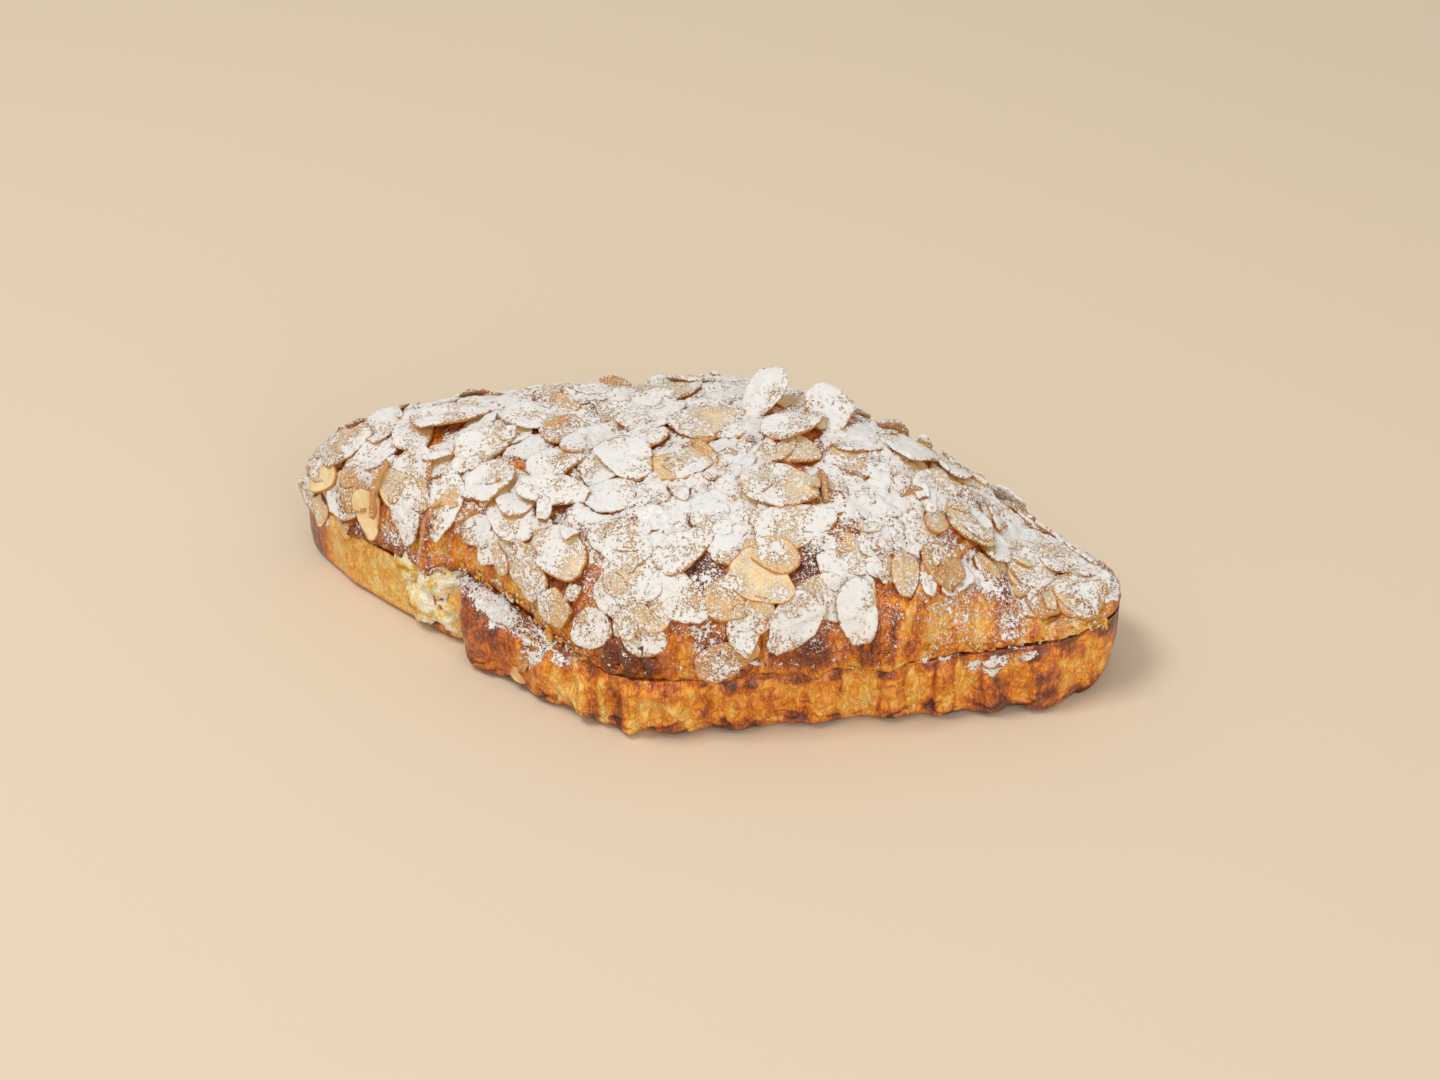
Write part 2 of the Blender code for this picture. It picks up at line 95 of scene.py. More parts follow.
backward = Vector((
    math.sin(CAMERA_TURN) * math.cos(CAMERA_RISE),
    -math.cos(CAMERA_TURN) * math.cos(CAMERA_RISE),
    math.sin(CAMERA_RISE),
))
rightward = Vector((math.cos(CAMERA_TURN), math.sin(CAMERA_TURN), 0))
upward = backward.cross(rightward)
target = Vector((0, 0, LOOK_HEIGHT)) + rightward * LOOK_RIGHT + upward * LOOK_UP
camera_data = bpy.data.cameras.new("camera")
camera_data.lens = LENS
camera_data.sensor_width = SENSOR_WIDTH
camera_data.clip_start = NEAREST_SEEN
camera = in_scene("camera", camera_data)
camera.location = target + backward * CAMERA_DISTANCE
camera.rotation_euler = backward.to_track_quat("Z", "Y").to_euler()
bpy.context.scene.camera = camera
print("camera at", [round(value, 3) for value in camera.location])


# %% Lamps and sky
SKY_COLOUR = (1.0, 0.98, 0.94, 1)
SKY_STRENGTH = 0.58


def area_lamp(name, place, size, power, colour):
    """A square lamp that looks at the pastry."""
    data = bpy.data.lights.new(name, "AREA")
    data.size = size
    data.energy = power
    data.color = colour
    lamp = in_scene(name, data)
    lamp.location = place
    lamp.rotation_euler = Vector(place).to_track_quat("Z", "Y").to_euler()


area_lamp("window", place=(-0.36, -0.24, 0.95), size=0.35, power=5.0, colour=(1.0, 0.985, 0.96))
area_lamp("fill", place=(0.70, -0.80, 0.50), size=0.9, power=4.9, colour=(1.0, 0.98, 0.95))

world = bpy.data.worlds.new("pale_room")
world.use_nodes = True
sky = world.node_tree.nodes["Background"]
sky.inputs["Color"].default_value = SKY_COLOUR
sky.inputs["Strength"].default_value = SKY_STRENGTH
bpy.context.scene.world = world
bpy.context.scene.view_settings.view_transform = "Standard"
print("two lamps and a pale sky")

# %% [markdown]
# ## The proportions of the pastry
# Every point of the crust has an address: a station along the pastry, from -1 at the left tip to 1 at the
# right tip, and an angle round its long axis, from 0 at the back rim over the crown to half a turn at the
# front rim. A scan of the solids could be used too, but the same functions that shaped them are shorter, and
# the fine surface then agrees with the solids everywhere.

# %% Measures that the solids were made with
LENGTH = 170 * MM
WIDTH = 93 * MM
BOW = 1.5 * MM
WIDEST_STATION = -0.01
LEFT_TIP_HALF_WIDTH = 8 * MM
RIGHT_TIP_HALF_WIDTH = 10 * MM
SEAM_HEIGHT = 14 * MM
SEAM_RISE_AT_RIGHT_TIP = 2.5 * MM
RIM_GAP = 0.8 * MM
RIM_TUCK = 1.3 * MM
HOLLOW_DEPTH = 2 * MM
HOLLOW_SHARE = 0.25
FIT_GAP = 0.3 * MM
SOLE_DEPTH = 1.2 * MM
SOLE_EDGE_RADIUS = 2.5 * MM
SIDE_TURN = 4 / 6
CENTRE_SHIFT = Vector((0, 0.164 * MM, 0))
CROWN = (
    (-1.00, 22.5 * MM),
    (-0.80, 28.5 * MM),
    (-0.50, 34 * MM),
    (-0.20, 36.5 * MM),
    (0.10, 40 * MM),
    (0.35, 40 * MM),
    (0.58, 32 * MM),
    (0.78, 20.5 * MM),
    (1.00, 21.0 * MM),
)
DOME_SQUARENESS = 2.25
PLAN_SHARPNESS = 1.02
WAIST_ROUNDING = 0.07
LEFT_BLUNTNESS = 18
RIGHT_BLUNTNESS = 20
EVEN_SPACING = 0.55
LID_WRAPS = (
    (-0.80, 0.05, 1.2 * MM),
    (-0.52, 0.07, 1.8 * MM),
    (-0.16, 0.10, 1.6 * MM),
    (0.24, 0.06, 1.4 * MM),
    (0.68, -0.10, 2.2 * MM),
    (0.90, 0.04, 1.2 * MM),
)
BASE_WRAPS = (
    (-0.82, 0.04, 1.0 * MM),
    (-0.44, 0.03, 4.0 * MM),
    (0.16, 0.04, 1.2 * MM),
    (0.88, 0.05, 2.0 * MM),
)
WRAP_LENGTH = 0.40
EDGE_SOFTNESS = 0.03
LEDGE_LEFT, LEDGE_PEAK, LEDGE_RIGHT = -0.57, -0.46, -0.04
LEDGE_DEPTH = 3 * MM
LEDGE_RISE = 3 * MM
RIB_DEPTH = 0.7 * MM
RIB_PITCH = 11 * MM
RIB_SWAY = 3 * MM
RIB_FADE = 3 * MM
RIBS_FROM, RIBS_FULL = -0.66, -0.45
UNEVENNESS = 0.8 * MM
UNEVEN_SCALE = 20 * MM


# %% The outline in plan and from the side
def smoothstep(low, high, value):
    """0 below low, 1 above high, and a smooth rise between them."""
    share = min(1.0, max(0.0, (value - low) / (high - low)))
    return share * share * (3 - 2 * share)


def stretch(value, start, full, fading, end):
    """1 along a stretch: a smooth rise from start to full, and a smooth fall from fading to end."""
    return smoothstep(start, full, value) * (1 - smoothstep(fading, end, value))


def rounded(value, squareness):
    """The signed power that turns a circle into a superellipse."""
    return math.copysign(abs(value) ** (2 / squareness), value)


def half_width(station):
    """Half the width in plan, a lozenge that is rounded at its widest and has blunt tips."""
    tip = LEFT_TIP_HALF_WIDTH if station < 0 else RIGHT_TIP_HALF_WIDTH
    from_widest = math.hypot(station - WIDEST_STATION * (1 - station**2), WAIST_ROUNDING)
    return tip + (WIDTH / 2 - tip) * (1 - from_widest**PLAN_SHARPNESS)


def middle(station):
    """The long axis bows towards the back at both tips."""
    return BOW * station**2


def crown_height(station):
    """A smooth curve through the heights of the crown."""
    place = min(max(station, CROWN[0][0]), CROWN[-1][0])
    number = max(i for i in range(len(CROWN) - 1) if CROWN[i][0] <= place)
    (start, low), (end, high) = CROWN[number], CROWN[number + 1]
    before, after = CROWN[max(number - 1, 0)], CROWN[min(number + 2, len(CROWN) - 1)]
    rise_in = (high - before[1]) / (end - before[0]) * (end - start)
    rise_out = (after[1] - low) / (after[0] - start) * (end - start)
    share = (place - start) / (end - start)
    leave = share * (1 - share) ** 2
    arrive = share**2 * (1 - share)
    return low + (high - low) * smoothstep(0, 1, share) + rise_in * leave - rise_out * arrive


def seam_height(station):
    return SEAM_HEIGHT + SEAM_RISE_AT_RIGHT_TIP * smoothstep(0.5, 1.0, station)


def end_rounding(station):
    bluntness = LEFT_BLUNTNESS if station < 0 else RIGHT_BLUNTNESS
    return math.sqrt(max(0.0, 1 - abs(station) ** bluntness))


print("widest", round(2 * half_width(WIDEST_STATION) / MM, 1), "mm")


# %% [markdown]
# ## Wraps, ribs and the seam
# The dough was rolled up, so the lid has steps where each wrap ends, and the cut side has ribs. The halves
# part along a seam that lifts at the front left, where the bottom half stands out as a ledge. All of these
# are small amounts added to the smooth outline, which keeps each of them easy to change.

# %% Wraps, ribs and the seam between the halves
def inwards(place, lean, station, angle):
    """How far inwards from the edge of a wrap a point lies, as a share of the half length."""
    side = math.copysign(1, place)
    return (place - side * lean * math.cos(angle) - station) * side


def wrap_relief(wraps, station, angle):
    """A step at the edge of each rolled wrap of dough, which fades towards the middle."""
    relief = 0.0
    for place, lean, step in wraps:
        inward = inwards(place, lean, station, angle)
        if inward > -EDGE_SOFTNESS:
            fade = max(0.0, 1 - inward / WRAP_LENGTH)
            relief = max(relief, step * fade * smoothstep(-EDGE_SOFTNESS, EDGE_SOFTNESS, inward))
    return relief


def ribs(station):
    """The ribs along the sides of the bottom half, which stand unevenly far apart."""
    along = station * LENGTH / 2 + RIB_SWAY * math.sin(9 * station)
    return RIB_DEPTH * math.cos(math.tau * along / RIB_PITCH) * smoothstep(RIBS_FROM, RIBS_FULL, station)


def unevenness(point):
    return UNEVENNESS * noise.noise(point / UNEVEN_SCALE)


def ledge(station):
    """1 where the bottom half stands out furthest at the front under the lid."""
    return stretch(station, LEDGE_LEFT, LEDGE_PEAK, LEDGE_PEAK, LEDGE_RIGHT)


def front(angle):
    return smoothstep(0.0, 0.8, -math.cos(angle))


def rim_tuck(height_from_seam):
    """How far the crust turns in beside the seam."""
    return RIM_TUCK * (1 - smoothstep(0, 3 * MM, abs(height_from_seam)))


def rim_reach(station, offset):
    """How far the rim of the lid reaches from the middle, on the side that the offset is on."""
    set_back = LEDGE_DEPTH * ledge(station) if offset < 0 else 0.0
    return max(1 * MM, (half_width(station) - set_back - RIM_TUCK) * end_rounding(station))


def parting(station, offset, edge=0.0):
    """The height midway between the halves, at an offset across from the middle."""
    share = abs(offset) / rim_reach(station, offset)
    if offset > 0:
        lifted = 0.0
    elif share <= 1 or edge <= rim_reach(station, offset):
        lifted = smoothstep(0.4, 0.95, share)
    else:
        outward = (-offset - rim_reach(station, offset)) / (edge - rim_reach(station, offset))
        lifted = math.sqrt(max(0.0, 1 - outward**2))
    return seam_height(station) + LEDGE_RISE * ledge(station) * lifted


def hollow_depth(station, offset):
    """How deep each half is hollowed for the cream."""
    share = min(1.0, abs(offset) / rim_reach(station, offset))
    deepest = min(HOLLOW_DEPTH, HOLLOW_SHARE * (crown_height(station) - seam_height(station)))
    return deepest * end_rounding(station) * (1 - share**4)


print("seam at", round(parting(0, 0) / MM, 1), "mm in the middle")


# %% [markdown]
# ## Points of the two halves
# One function gives a point of the lid and another a point of the bottom half, for any address. Negative
# angles are the far side of each: the hollow underside of the lid, or the side and sole of the bottom half.

# %% Points of the two halves
def lid_point(station, angle):
    """A point of the lid's crust or, past half a turn, of its hollow underside."""
    closing = end_rounding(station)
    set_back = ledge(station) * front(angle)
    relief = wrap_relief(LID_WRAPS, station, angle)
    width = (half_width(station) + relief - LEDGE_DEPTH * set_back) * closing
    across = rounded(math.cos(angle), DOME_SQUARENESS)
    if math.sin(angle) < 0:
        offset = across * (width - RIM_TUCK * closing)
        height = parting(station, offset) + RIM_GAP / 2 + hollow_depth(station, offset)
        return Vector((station * LENGTH / 2, middle(station) + offset, height))
    rim = seam_height(station) + RIM_GAP / 2 + LEDGE_RISE * set_back
    rise = (crown_height(station) + 0.6 * relief - rim) * closing * rounded(math.sin(angle), DOME_SQUARENESS)
    reach = width - rim_tuck(rise) * closing
    place = Vector((station * LENGTH / 2, middle(station) + across * reach, rim + rise))
    bump = unevenness(place) * closing * smoothstep(0, 6 * MM, rise)
    return place + Vector((0, across, math.sin(angle))) * bump


def base_point(station, angle):
    """A point of the bottom half: its hollow top over the first half turn, then its side and flat sole."""
    closing = end_rounding(station)
    at_front = smoothstep(-0.2, 0.5, -math.cos(angle))
    width = (half_width(station) + wrap_relief(BASE_WRAPS, station, angle) * (0.3 + 0.7 * at_front)) * closing
    if math.sin(angle) > 0:
        edge = width - RIM_TUCK * closing
        offset = rounded(math.cos(angle), DOME_SQUARENESS) * edge
        height = parting(station, offset, edge) - RIM_GAP / 2 - hollow_depth(station, offset)
        return Vector((station * LENGTH / 2, middle(station) + offset, height))
    top = seam_height(station) - RIM_GAP / 2
    side = math.copysign(1, math.cos(angle))
    turned = min(-angle, math.pi + angle) / (math.pi / 2)
    height = max(0.0, top - (top + SOLE_DEPTH) * math.sqrt(closing) * min(1.0, turned / SIDE_TURN))
    drop = top - height
    below_edge = max(0.0, SOLE_EDGE_RADIUS - height)
    undercut = SOLE_EDGE_RADIUS - math.sqrt(max(0.0, SOLE_EDGE_RADIUS**2 - below_edge**2))
    place = Vector((station * LENGTH / 2, middle(station), height))
    uneven = unevenness(place + Vector((0, side * width, 0)))
    relief = (ribs(station) + uneven) * smoothstep(0, RIB_FADE, drop)
    reach = width + (relief - rim_tuck(drop) - undercut) * closing
    place.y += side * reach * min(1.0, (1 - turned) / (1 - SIDE_TURN))
    return place


print("crown at", round(lid_point(0.2, math.pi / 2).z / MM, 1), "mm")

# %% [markdown]
# ## Effects that several materials share
# Two effects come back on several surfaces: the browning of the crust, and the icing sugar. Each is a node
# group with named inputs, so every material places it with its own values. A small helper adds and joins
# nodes, because the same few lines would otherwise come back dozens of times.


# %% A helper that wires nodes
class Wiring:
    """Adds nodes to a tree and joins them."""

    def __init__(self, tree):
        self.tree = tree

    def add(self, kind, values=None, **settings):
        node = self.tree.nodes.new(kind)
        for name, value in settings.items():
            setattr(node, name, value)
        for name, value in (values or {}).items():
            socket = node.inputs[name]
            if isinstance(value, bpy.types.NodeSocket):
                self.tree.links.new(value, socket)
            else:
                socket.default_value = value
        return node

    def math(self, operation, first, second=0.0, clamp=False):
        node = self.add("ShaderNodeMath", {0: first, 1: second}, operation=operation, use_clamp=clamp)
        return node.outputs[0]

    def vary(self, value, pattern, amount, clamp=False):
        """Raise and lower a value by a pattern that swings round one half."""
        swing = self.math("MULTIPLY", self.math("SUBTRACT", pattern, 0.5), amount)
        return self.math("ADD", value, swing, clamp)

    def range(self, value, low, high, to_low=0.0, to_high=1.0):
        values = {"Value": value, "From Min": low, "From Max": high, "To Min": to_low, "To Max": to_high}
        return self.add("ShaderNodeMapRange", values, interpolation_type="SMOOTHSTEP").outputs[0]

    def noise(self, vector, per_metre, detail=2.0, roughness=0.5, distortion=0.0):
        values = {"Vector": vector, "Scale": per_metre, "Detail": detail, "Roughness": roughness,
                  "Distortion": distortion}
        return self.add("ShaderNodeTexNoise", values).outputs[0]

    def mix(self, share, first, second, blend="MIX"):
        node = self.add("ShaderNodeMix", data_type="RGBA", blend_type=blend)
        for number, value in ((0, share), (6, first), (7, second)):
            if isinstance(value, bpy.types.NodeSocket):
                self.tree.links.new(value, node.inputs[number])
            else:
                node.inputs[number].default_value = value
        return node.outputs[2]

    def ramp(self, value, stops):
        node = self.add("ShaderNodeValToRGB", {"Fac": value})
        line = node.color_ramp
        while len(line.elements) < len(stops):
            line.elements.new(0.5)
        for element, (place, colour) in zip(line.elements, stops):
            element.position = place
            element.color = colour
        return node.outputs[0]


def new_group(name, inputs, outputs):
    """A node group with its sockets, each given as name, type and value."""
    tree = bpy.data.node_groups.new(name, "ShaderNodeTree")
    for socket_name, kind, value in inputs:
        socket = tree.interface.new_socket(socket_name, in_out="INPUT", socket_type="NodeSocket" + kind)
        if value is not None:
            socket.default_value = value
    for socket_name, kind in outputs:
        tree.interface.new_socket(socket_name, in_out="OUTPUT", socket_type="NodeSocket" + kind)
    wiring = Wiring(tree)
    return wiring, wiring.add("NodeGroupInput"), wiring.add("NodeGroupOutput")


# %% Colours, read off the pastry
def shade(code):
    """A colour as the shader wants it, from the usual six figures."""
    parts = [int(code[place:place + 2], 16) / 255 for place in (0, 2, 4)]
    linear = [part / 12.92 if part <= 0.04045 else ((part + 0.055) / 1.055) ** 2.4 for part in parts]
    return (*linear, 1.0)


SUGAR_WHITE = shade("E0DFDE")
THIN_SUGAR = shade("E6DCD2")
# Painted shade in the pores between the sugar grains: the crust there is multiplied by this dark colour.
PAINTED_PORE_SHADOW = (0.30, 0.20, 0.16, 1)
BAKE_STOPS = (
    (0.00, shade("F8D686")),
    (0.22, shade("F5B84E")),
    (0.45, shade("F09418")),
    (0.65, shade("CE6A1A")),
    (0.82, shade("9C4C1C")),
    (1.00, shade("6C3216")),
)
print("bake runs over", len(BAKE_STOPS), "colours")


# %% [markdown]
# ## Baked crust
# Laminated dough browns unevenly: in blotches and in fine upright streaks. The cracks of its skin are
# darkened as painted shade. A painted picture could be wrapped round it, but patterns in three dimensions
# have no seams and follow every fold. So one number, which holds the browning and this painted shade, is
# raised and lowered by noise, and a row of browns is looked up with it.

# %% Group: baked crust
SURFACE = (("Color", "Color"), ("Height", "Float"), ("Roughness", "Float"))


def baked_crust_group():
    inputs = (("Bake", "Float", 0.5), ("Position", "Vector", None))
    w, given, result = new_group("baked_crust", inputs, SURFACE)
    spot = given.outputs["Position"]
    blotch = w.noise(spot, 170, 3, 0.6)
    grain = w.noise(spot, 850, 4, 0.7)
    fibre_place = w.add("ShaderNodeMapping", {"Vector": spot, "Scale": (1.0, 0.7, 0.5)}).outputs[0]
    fibre = w.noise(fibre_place, 600, 3, 0.65, 1.0)
    streak_place = w.add("ShaderNodeMapping", {"Vector": spot, "Scale": (1.0, 0.8, 0.16)}).outputs[0]
    streak = w.noise(streak_place, 700, 2, 0.6, 0.4)
    off_line = w.math("ABSOLUTE", w.math("SUBTRACT", fibre, 0.5))
    shaded_crack = w.math("SUBTRACT", 1.0, w.math("MULTIPLY", off_line, 16.0), clamp=True)
    bake_and_shade = w.vary(given.outputs["Bake"], blotch, 0.55)
    bake_and_shade = w.vary(bake_and_shade, grain, 0.36)
    bake_and_shade = w.vary(bake_and_shade, streak, 0.42)
    # Painted shade in the cracks of the skin: the bake is darkened along thin lines that are also sunk.
    bake_and_shade = w.math("ADD", bake_and_shade, w.math("MULTIPLY", shaded_crack, 0.16), clamp=True)
    colour = w.ramp(bake_and_shade, BAKE_STOPS)
    fine = w.noise(spot, 2300, 2, 0.6)
    height = w.math("ADD", w.math("MULTIPLY", grain, 1.3), w.math("MULTIPLY", fine, 0.3))
    height = w.math("ADD", height, w.math("MULTIPLY", streak, 0.9))
    height = w.math("SUBTRACT", height, w.math("MULTIPLY", shaded_crack, 0.5))
    height = w.math("SUBTRACT", height, 1.25)
    w.tree.links.new(colour, result.inputs["Color"])
    w.tree.links.new(height, result.inputs["Height"])
    w.tree.links.new(w.range(grain, 0.3, 0.7, 0.26, 0.5), result.inputs["Roughness"])
    return w.tree


CRUST_GROUP = baked_crust_group()
print("group", CRUST_GROUP.name)


# %% [markdown]
# ## Icing sugar
# Sieved sugar is a thin white blanket that breaks up into grains where little of it fell. A white layer of
# mesh could lie on top, but its torn edge would need far too many faces. So the shader decides for each
# point: noise as fine as the grains cuts the blanket open, and the crust in the pores is darkened with
# painted shade, more of it where more sugar lies.

# %% Group: icing sugar
def icing_sugar_group():
    inputs = (("Below", "Color", (0.5, 0.3, 0.1, 1)), ("Cover", "Float", 0.5), ("Position", "Vector", None),
              ("Roughness", "Float", 0.5), ("Height", "Float", 0.0))
    w, given, result = new_group("icing_sugar", inputs, SURFACE)
    spot, amount = given.outputs["Position"], given.outputs["Cover"]
    drift = w.noise(spot, 190, 3, 0.65)
    speck = w.noise(spot, 1250, 2, 0.7, 0.3)
    grain = w.noise(spot, 2700, 2, 0.6)
    cover = w.vary(amount, drift, 0.95)
    level = w.vary(cover, speck, 1.9)
    level = w.vary(level, grain, 0.5)
    blanket = w.range(level, 0.47, 0.53)
    scatter = w.vary(w.math("MULTIPLY", amount, 0.6), grain, 1.7)
    dots = w.math("MULTIPLY", w.range(scatter, 0.30, 0.37), 0.9)
    dust = w.math("MULTIPLY", w.math("MAXIMUM", blanket, dots), w.range(amount, 0.02, 0.12))
    # Painted shade in the pores, deeper where more sugar lies round them.
    pore_shadow_share = w.math("MULTIPLY", w.range(amount, 0.20, 0.70), 0.95)
    below = w.mix(pore_shadow_share, given.outputs["Below"], PAINTED_PORE_SHADOW, "MULTIPLY")
    colour = w.mix(dust, below, w.mix(w.range(level, 0.5, 1.0), THIN_SUGAR, SUGAR_WHITE))
    sugar_height = w.math("MULTIPLY", blanket, w.math("ADD", 0.45, w.math("MULTIPLY", speck, 0.5)))
    open_share = w.math("SUBTRACT", 1.0, w.math("MULTIPLY", blanket, 0.85))
    height = w.math("ADD", w.math("MULTIPLY", given.outputs["Height"], open_share), sugar_height)
    roughness = w.math("ADD", given.outputs["Roughness"], w.math("MULTIPLY", dust, 0.4), clamp=True)
    for name, socket in (("Color", colour), ("Height", height), ("Roughness", roughness)):
        w.tree.links.new(socket, result.inputs[name])
    return w.tree


SUGAR_GROUP = icing_sugar_group()
print("group", SUGAR_GROUP.name)

# %% [markdown]
# ## Materials
# Attributes that the meshes carry steer the groups: one says how dark the crust is, from its browning and
# from painted shade, and sugar how much dust can settle there. On an almond, toast says how brown it is, rim
# where its skin runs, and lengthwise and breadthwise where a point lies on its own slice. Two more, dusting
# and cling, only help to work out the sugar. All of them come from the geometry, because only the geometry
# knows what lies under an overhang.


# %% Make a material
def new_material(name):
    material = bpy.data.materials.new(name)
    material.use_nodes = True
    wiring = Wiring(material.node_tree)
    shader = material.node_tree.nodes["Principled BSDF"]
    spot = wiring.add("ShaderNodeTexCoord").outputs["Object"]
    return material, wiring, shader, spot


def attribute(wiring, name):
    return wiring.add("ShaderNodeAttribute", attribute_name=name).outputs["Fac"]


def finish_shader(wiring, shader, surface, depth):
    """Join a surface's colour, height and roughness to the shader, with a bump of that depth in metres."""
    colour, height, roughness = surface
    bump = wiring.add("ShaderNodeBump", {"Height": height, "Strength": 1.0, "Distance": depth})
    wiring.tree.links.new(colour, shader.inputs["Base Color"])
    wiring.tree.links.new(roughness, shader.inputs["Roughness"])
    wiring.tree.links.new(bump.outputs[0], shader.inputs["Normal"])


def sugared(wiring, spot, colour, height, roughness):
    """The icing sugar group over a surface with this colour, height and roughness."""
    values = {"Below": colour, "Height": height, "Roughness": roughness,
              "Cover": attribute(wiring, "sugar"), "Position": spot}
    return wiring.add("ShaderNodeGroup", values, node_tree=SUGAR_GROUP)


def let_light_in(shader, weight, spread, reach):
    """How much light goes below the surface, how far in red, green and blue, and the reach in metres."""
    shader.inputs["Subsurface Weight"].default_value = weight
    shader.inputs["Subsurface Radius"].default_value = spread
    shader.inputs["Subsurface Scale"].default_value = reach


# %% [markdown]
# ## The finish of the crust
# Baked crust has a thin gloss of butter, a little more of it on the bottom half. The whole surface could be
# made smoother, but then its relief would glitter too, so a weak smooth coat lies over the rougher crust.

# %% Crust
CRUST_BUMP = 0.35 * MM
COAT_ROUGHNESS = 0.16
LID_GLOSS, BASE_GLOSS = 0.3, 0.4


def crust_material(name, gloss):
    material, w, shader, spot = new_material(name)
    crust = w.add("ShaderNodeGroup", {"Bake": attribute(w, "bake_and_shade"), "Position": spot}, node_tree=CRUST_GROUP)
    sugar = sugared(w, spot, *crust.outputs)
    finish_shader(w, shader, sugar.outputs, CRUST_BUMP)
    shader.inputs["Coat Weight"].default_value = gloss
    shader.inputs["Coat Roughness"].default_value = COAT_ROUGHNESS
    let_light_in(shader, 0.06, (1.0, 0.45, 0.2), 1.5 * MM)
    return material


LID_CRUST = crust_material("lid_crust", LID_GLOSS)
BASE_CRUST = crust_material("base_crust", BASE_GLOSS)
print("materials", LID_CRUST.name, BASE_CRUST.name)

# %% [markdown]
# ## The finish of a sliced almond
# A toasted slice is cream to golden, with faint veins along it and a brown skin round its rim. The veins have
# to turn with each slice, which a pattern in space can't do, so they read the slice's own two attributes.

# %% Sliced almond
ALMOND_STOPS = ((0.0, shade("F4E1B2")), (0.5, shade("E5BF84")), (1.0, shade("BE8442")))
NUT_SKIN = shade("C08440")
VEIN_SCALE = (250.0, 1700.0, 1.0)
ALMOND_RELIEF = 0.3
ALMOND_ROUGHNESS = 0.5
ALMOND_BUMP = 0.4 * MM


def almond_material():
    material, w, shader, spot = new_material("toasted_almond")
    flesh = w.noise(spot, 350, 3, 0.6)
    grain = w.noise(spot, 1700, 2, 0.6)
    on_slice = {"X": attribute(w, "lengthwise"), "Y": attribute(w, "breadthwise")}
    vein_place = w.add("ShaderNodeCombineXYZ", on_slice).outputs[0]
    vein_place = w.add("ShaderNodeMapping", {"Vector": vein_place, "Scale": VEIN_SCALE}).outputs[0]
    vein = w.noise(vein_place, 1.0, 2, 0.6)
    toast = w.vary(attribute(w, "toast"), flesh, 0.7)
    toast = w.vary(toast, vein, 0.6, clamp=True)
    rim = w.vary(attribute(w, "rim"), grain, 0.6, clamp=True)
    colour = w.mix(w.range(rim, 0.45, 0.75), w.ramp(toast, ALMOND_STOPS), NUT_SKIN)
    relief = w.math("MULTIPLY", w.math("SUBTRACT", w.math("ADD", grain, vein), 1.0), ALMOND_RELIEF)
    sugar = sugared(w, spot, colour, relief, ALMOND_ROUGHNESS)
    finish_shader(w, shader, sugar.outputs, ALMOND_BUMP)
    let_light_in(shader, 0.12, (1.0, 0.6, 0.3), 1.0 * MM)
    return material


ALMOND = almond_material()
print("material", ALMOND.name)

# %% [markdown]
# ## The finish of the cream and of the sugar clumps
# Baked almond cream is pale and crumbly, with golden spots where it dried, and near-white spots of painted
# highlight. Two noises, one for the lumps and one for the crumbs, give both its colour and its relief. A clump
# of sugar is plain white with a fine grain.

# %% Almond cream and sugar clumps
# The last, near-white stop is painted highlight on the cream.
CREAM_AND_HIGHLIGHT_STOPS = (
    (0.36, shade("D08A22")),
    (0.43, shade("E9B84C")),
    (0.49, shade("F6E2A4")),
    (0.57, shade("FFFCF2")),
)
CREAM_BUMP = 0.8 * MM
CLUMP_SHADE = shade("D9D4CC")
CLUMP_BUMP = 0.1 * MM


def cream_material():
    material, w, shader, spot = new_material("almond_cream_crumb")
    lump = w.noise(spot, 260, 4, 0.6)
    crumb = w.noise(spot, 1300, 3, 0.65)
    tone = w.math("ADD", w.math("MULTIPLY", lump, 0.7), w.math("MULTIPLY", crumb, 0.3))
    height = w.math("ADD", crumb, w.math("MULTIPLY", lump, 0.5))
    roughness = w.range(crumb, 0.3, 0.7, 0.45, 0.7)
    finish_shader(w, shader, (w.ramp(tone, CREAM_AND_HIGHLIGHT_STOPS), height, roughness), CREAM_BUMP)
    let_light_in(shader, 0.2, (1.0, 0.8, 0.4), 1.5 * MM)
    return material


def sugar_material():
    material, w, shader, spot = new_material("sugar_clumps")
    grain = w.noise(spot, 3000, 2, 0.6)
    roughness = w.range(grain, 0.0, 1.0, 0.85, 0.95)
    finish_shader(w, shader, (w.mix(grain, CLUMP_SHADE, SUGAR_WHITE), grain, roughness), CLUMP_BUMP)
    return material


CREAM = cream_material()
SUGAR = sugar_material()
print("materials", CREAM.name, SUGAR.name)

# %% [markdown]
# ## Fine surfaces
# A sphere whose poles are the two tips is the cheapest start for a closed skin: every ring of it is a slice
# of the pastry. Each of its points is moved to the address it stands for. The segments are not shared out
# evenly: most of them go to the sides that are seen. Small shapes that come back many times are made once and
# joined into one mesh from arrays, which is fast and leaves a single piece.


# %% Turn a sphere into a skin
def finished(name, shape, material):
    """A new object in the scene, made from a bmesh."""
    data = bpy.data.meshes.new(name)
    shape.to_mesh(data)
    shape.free()
    data.materials.append(material)
    return in_scene(name, data)


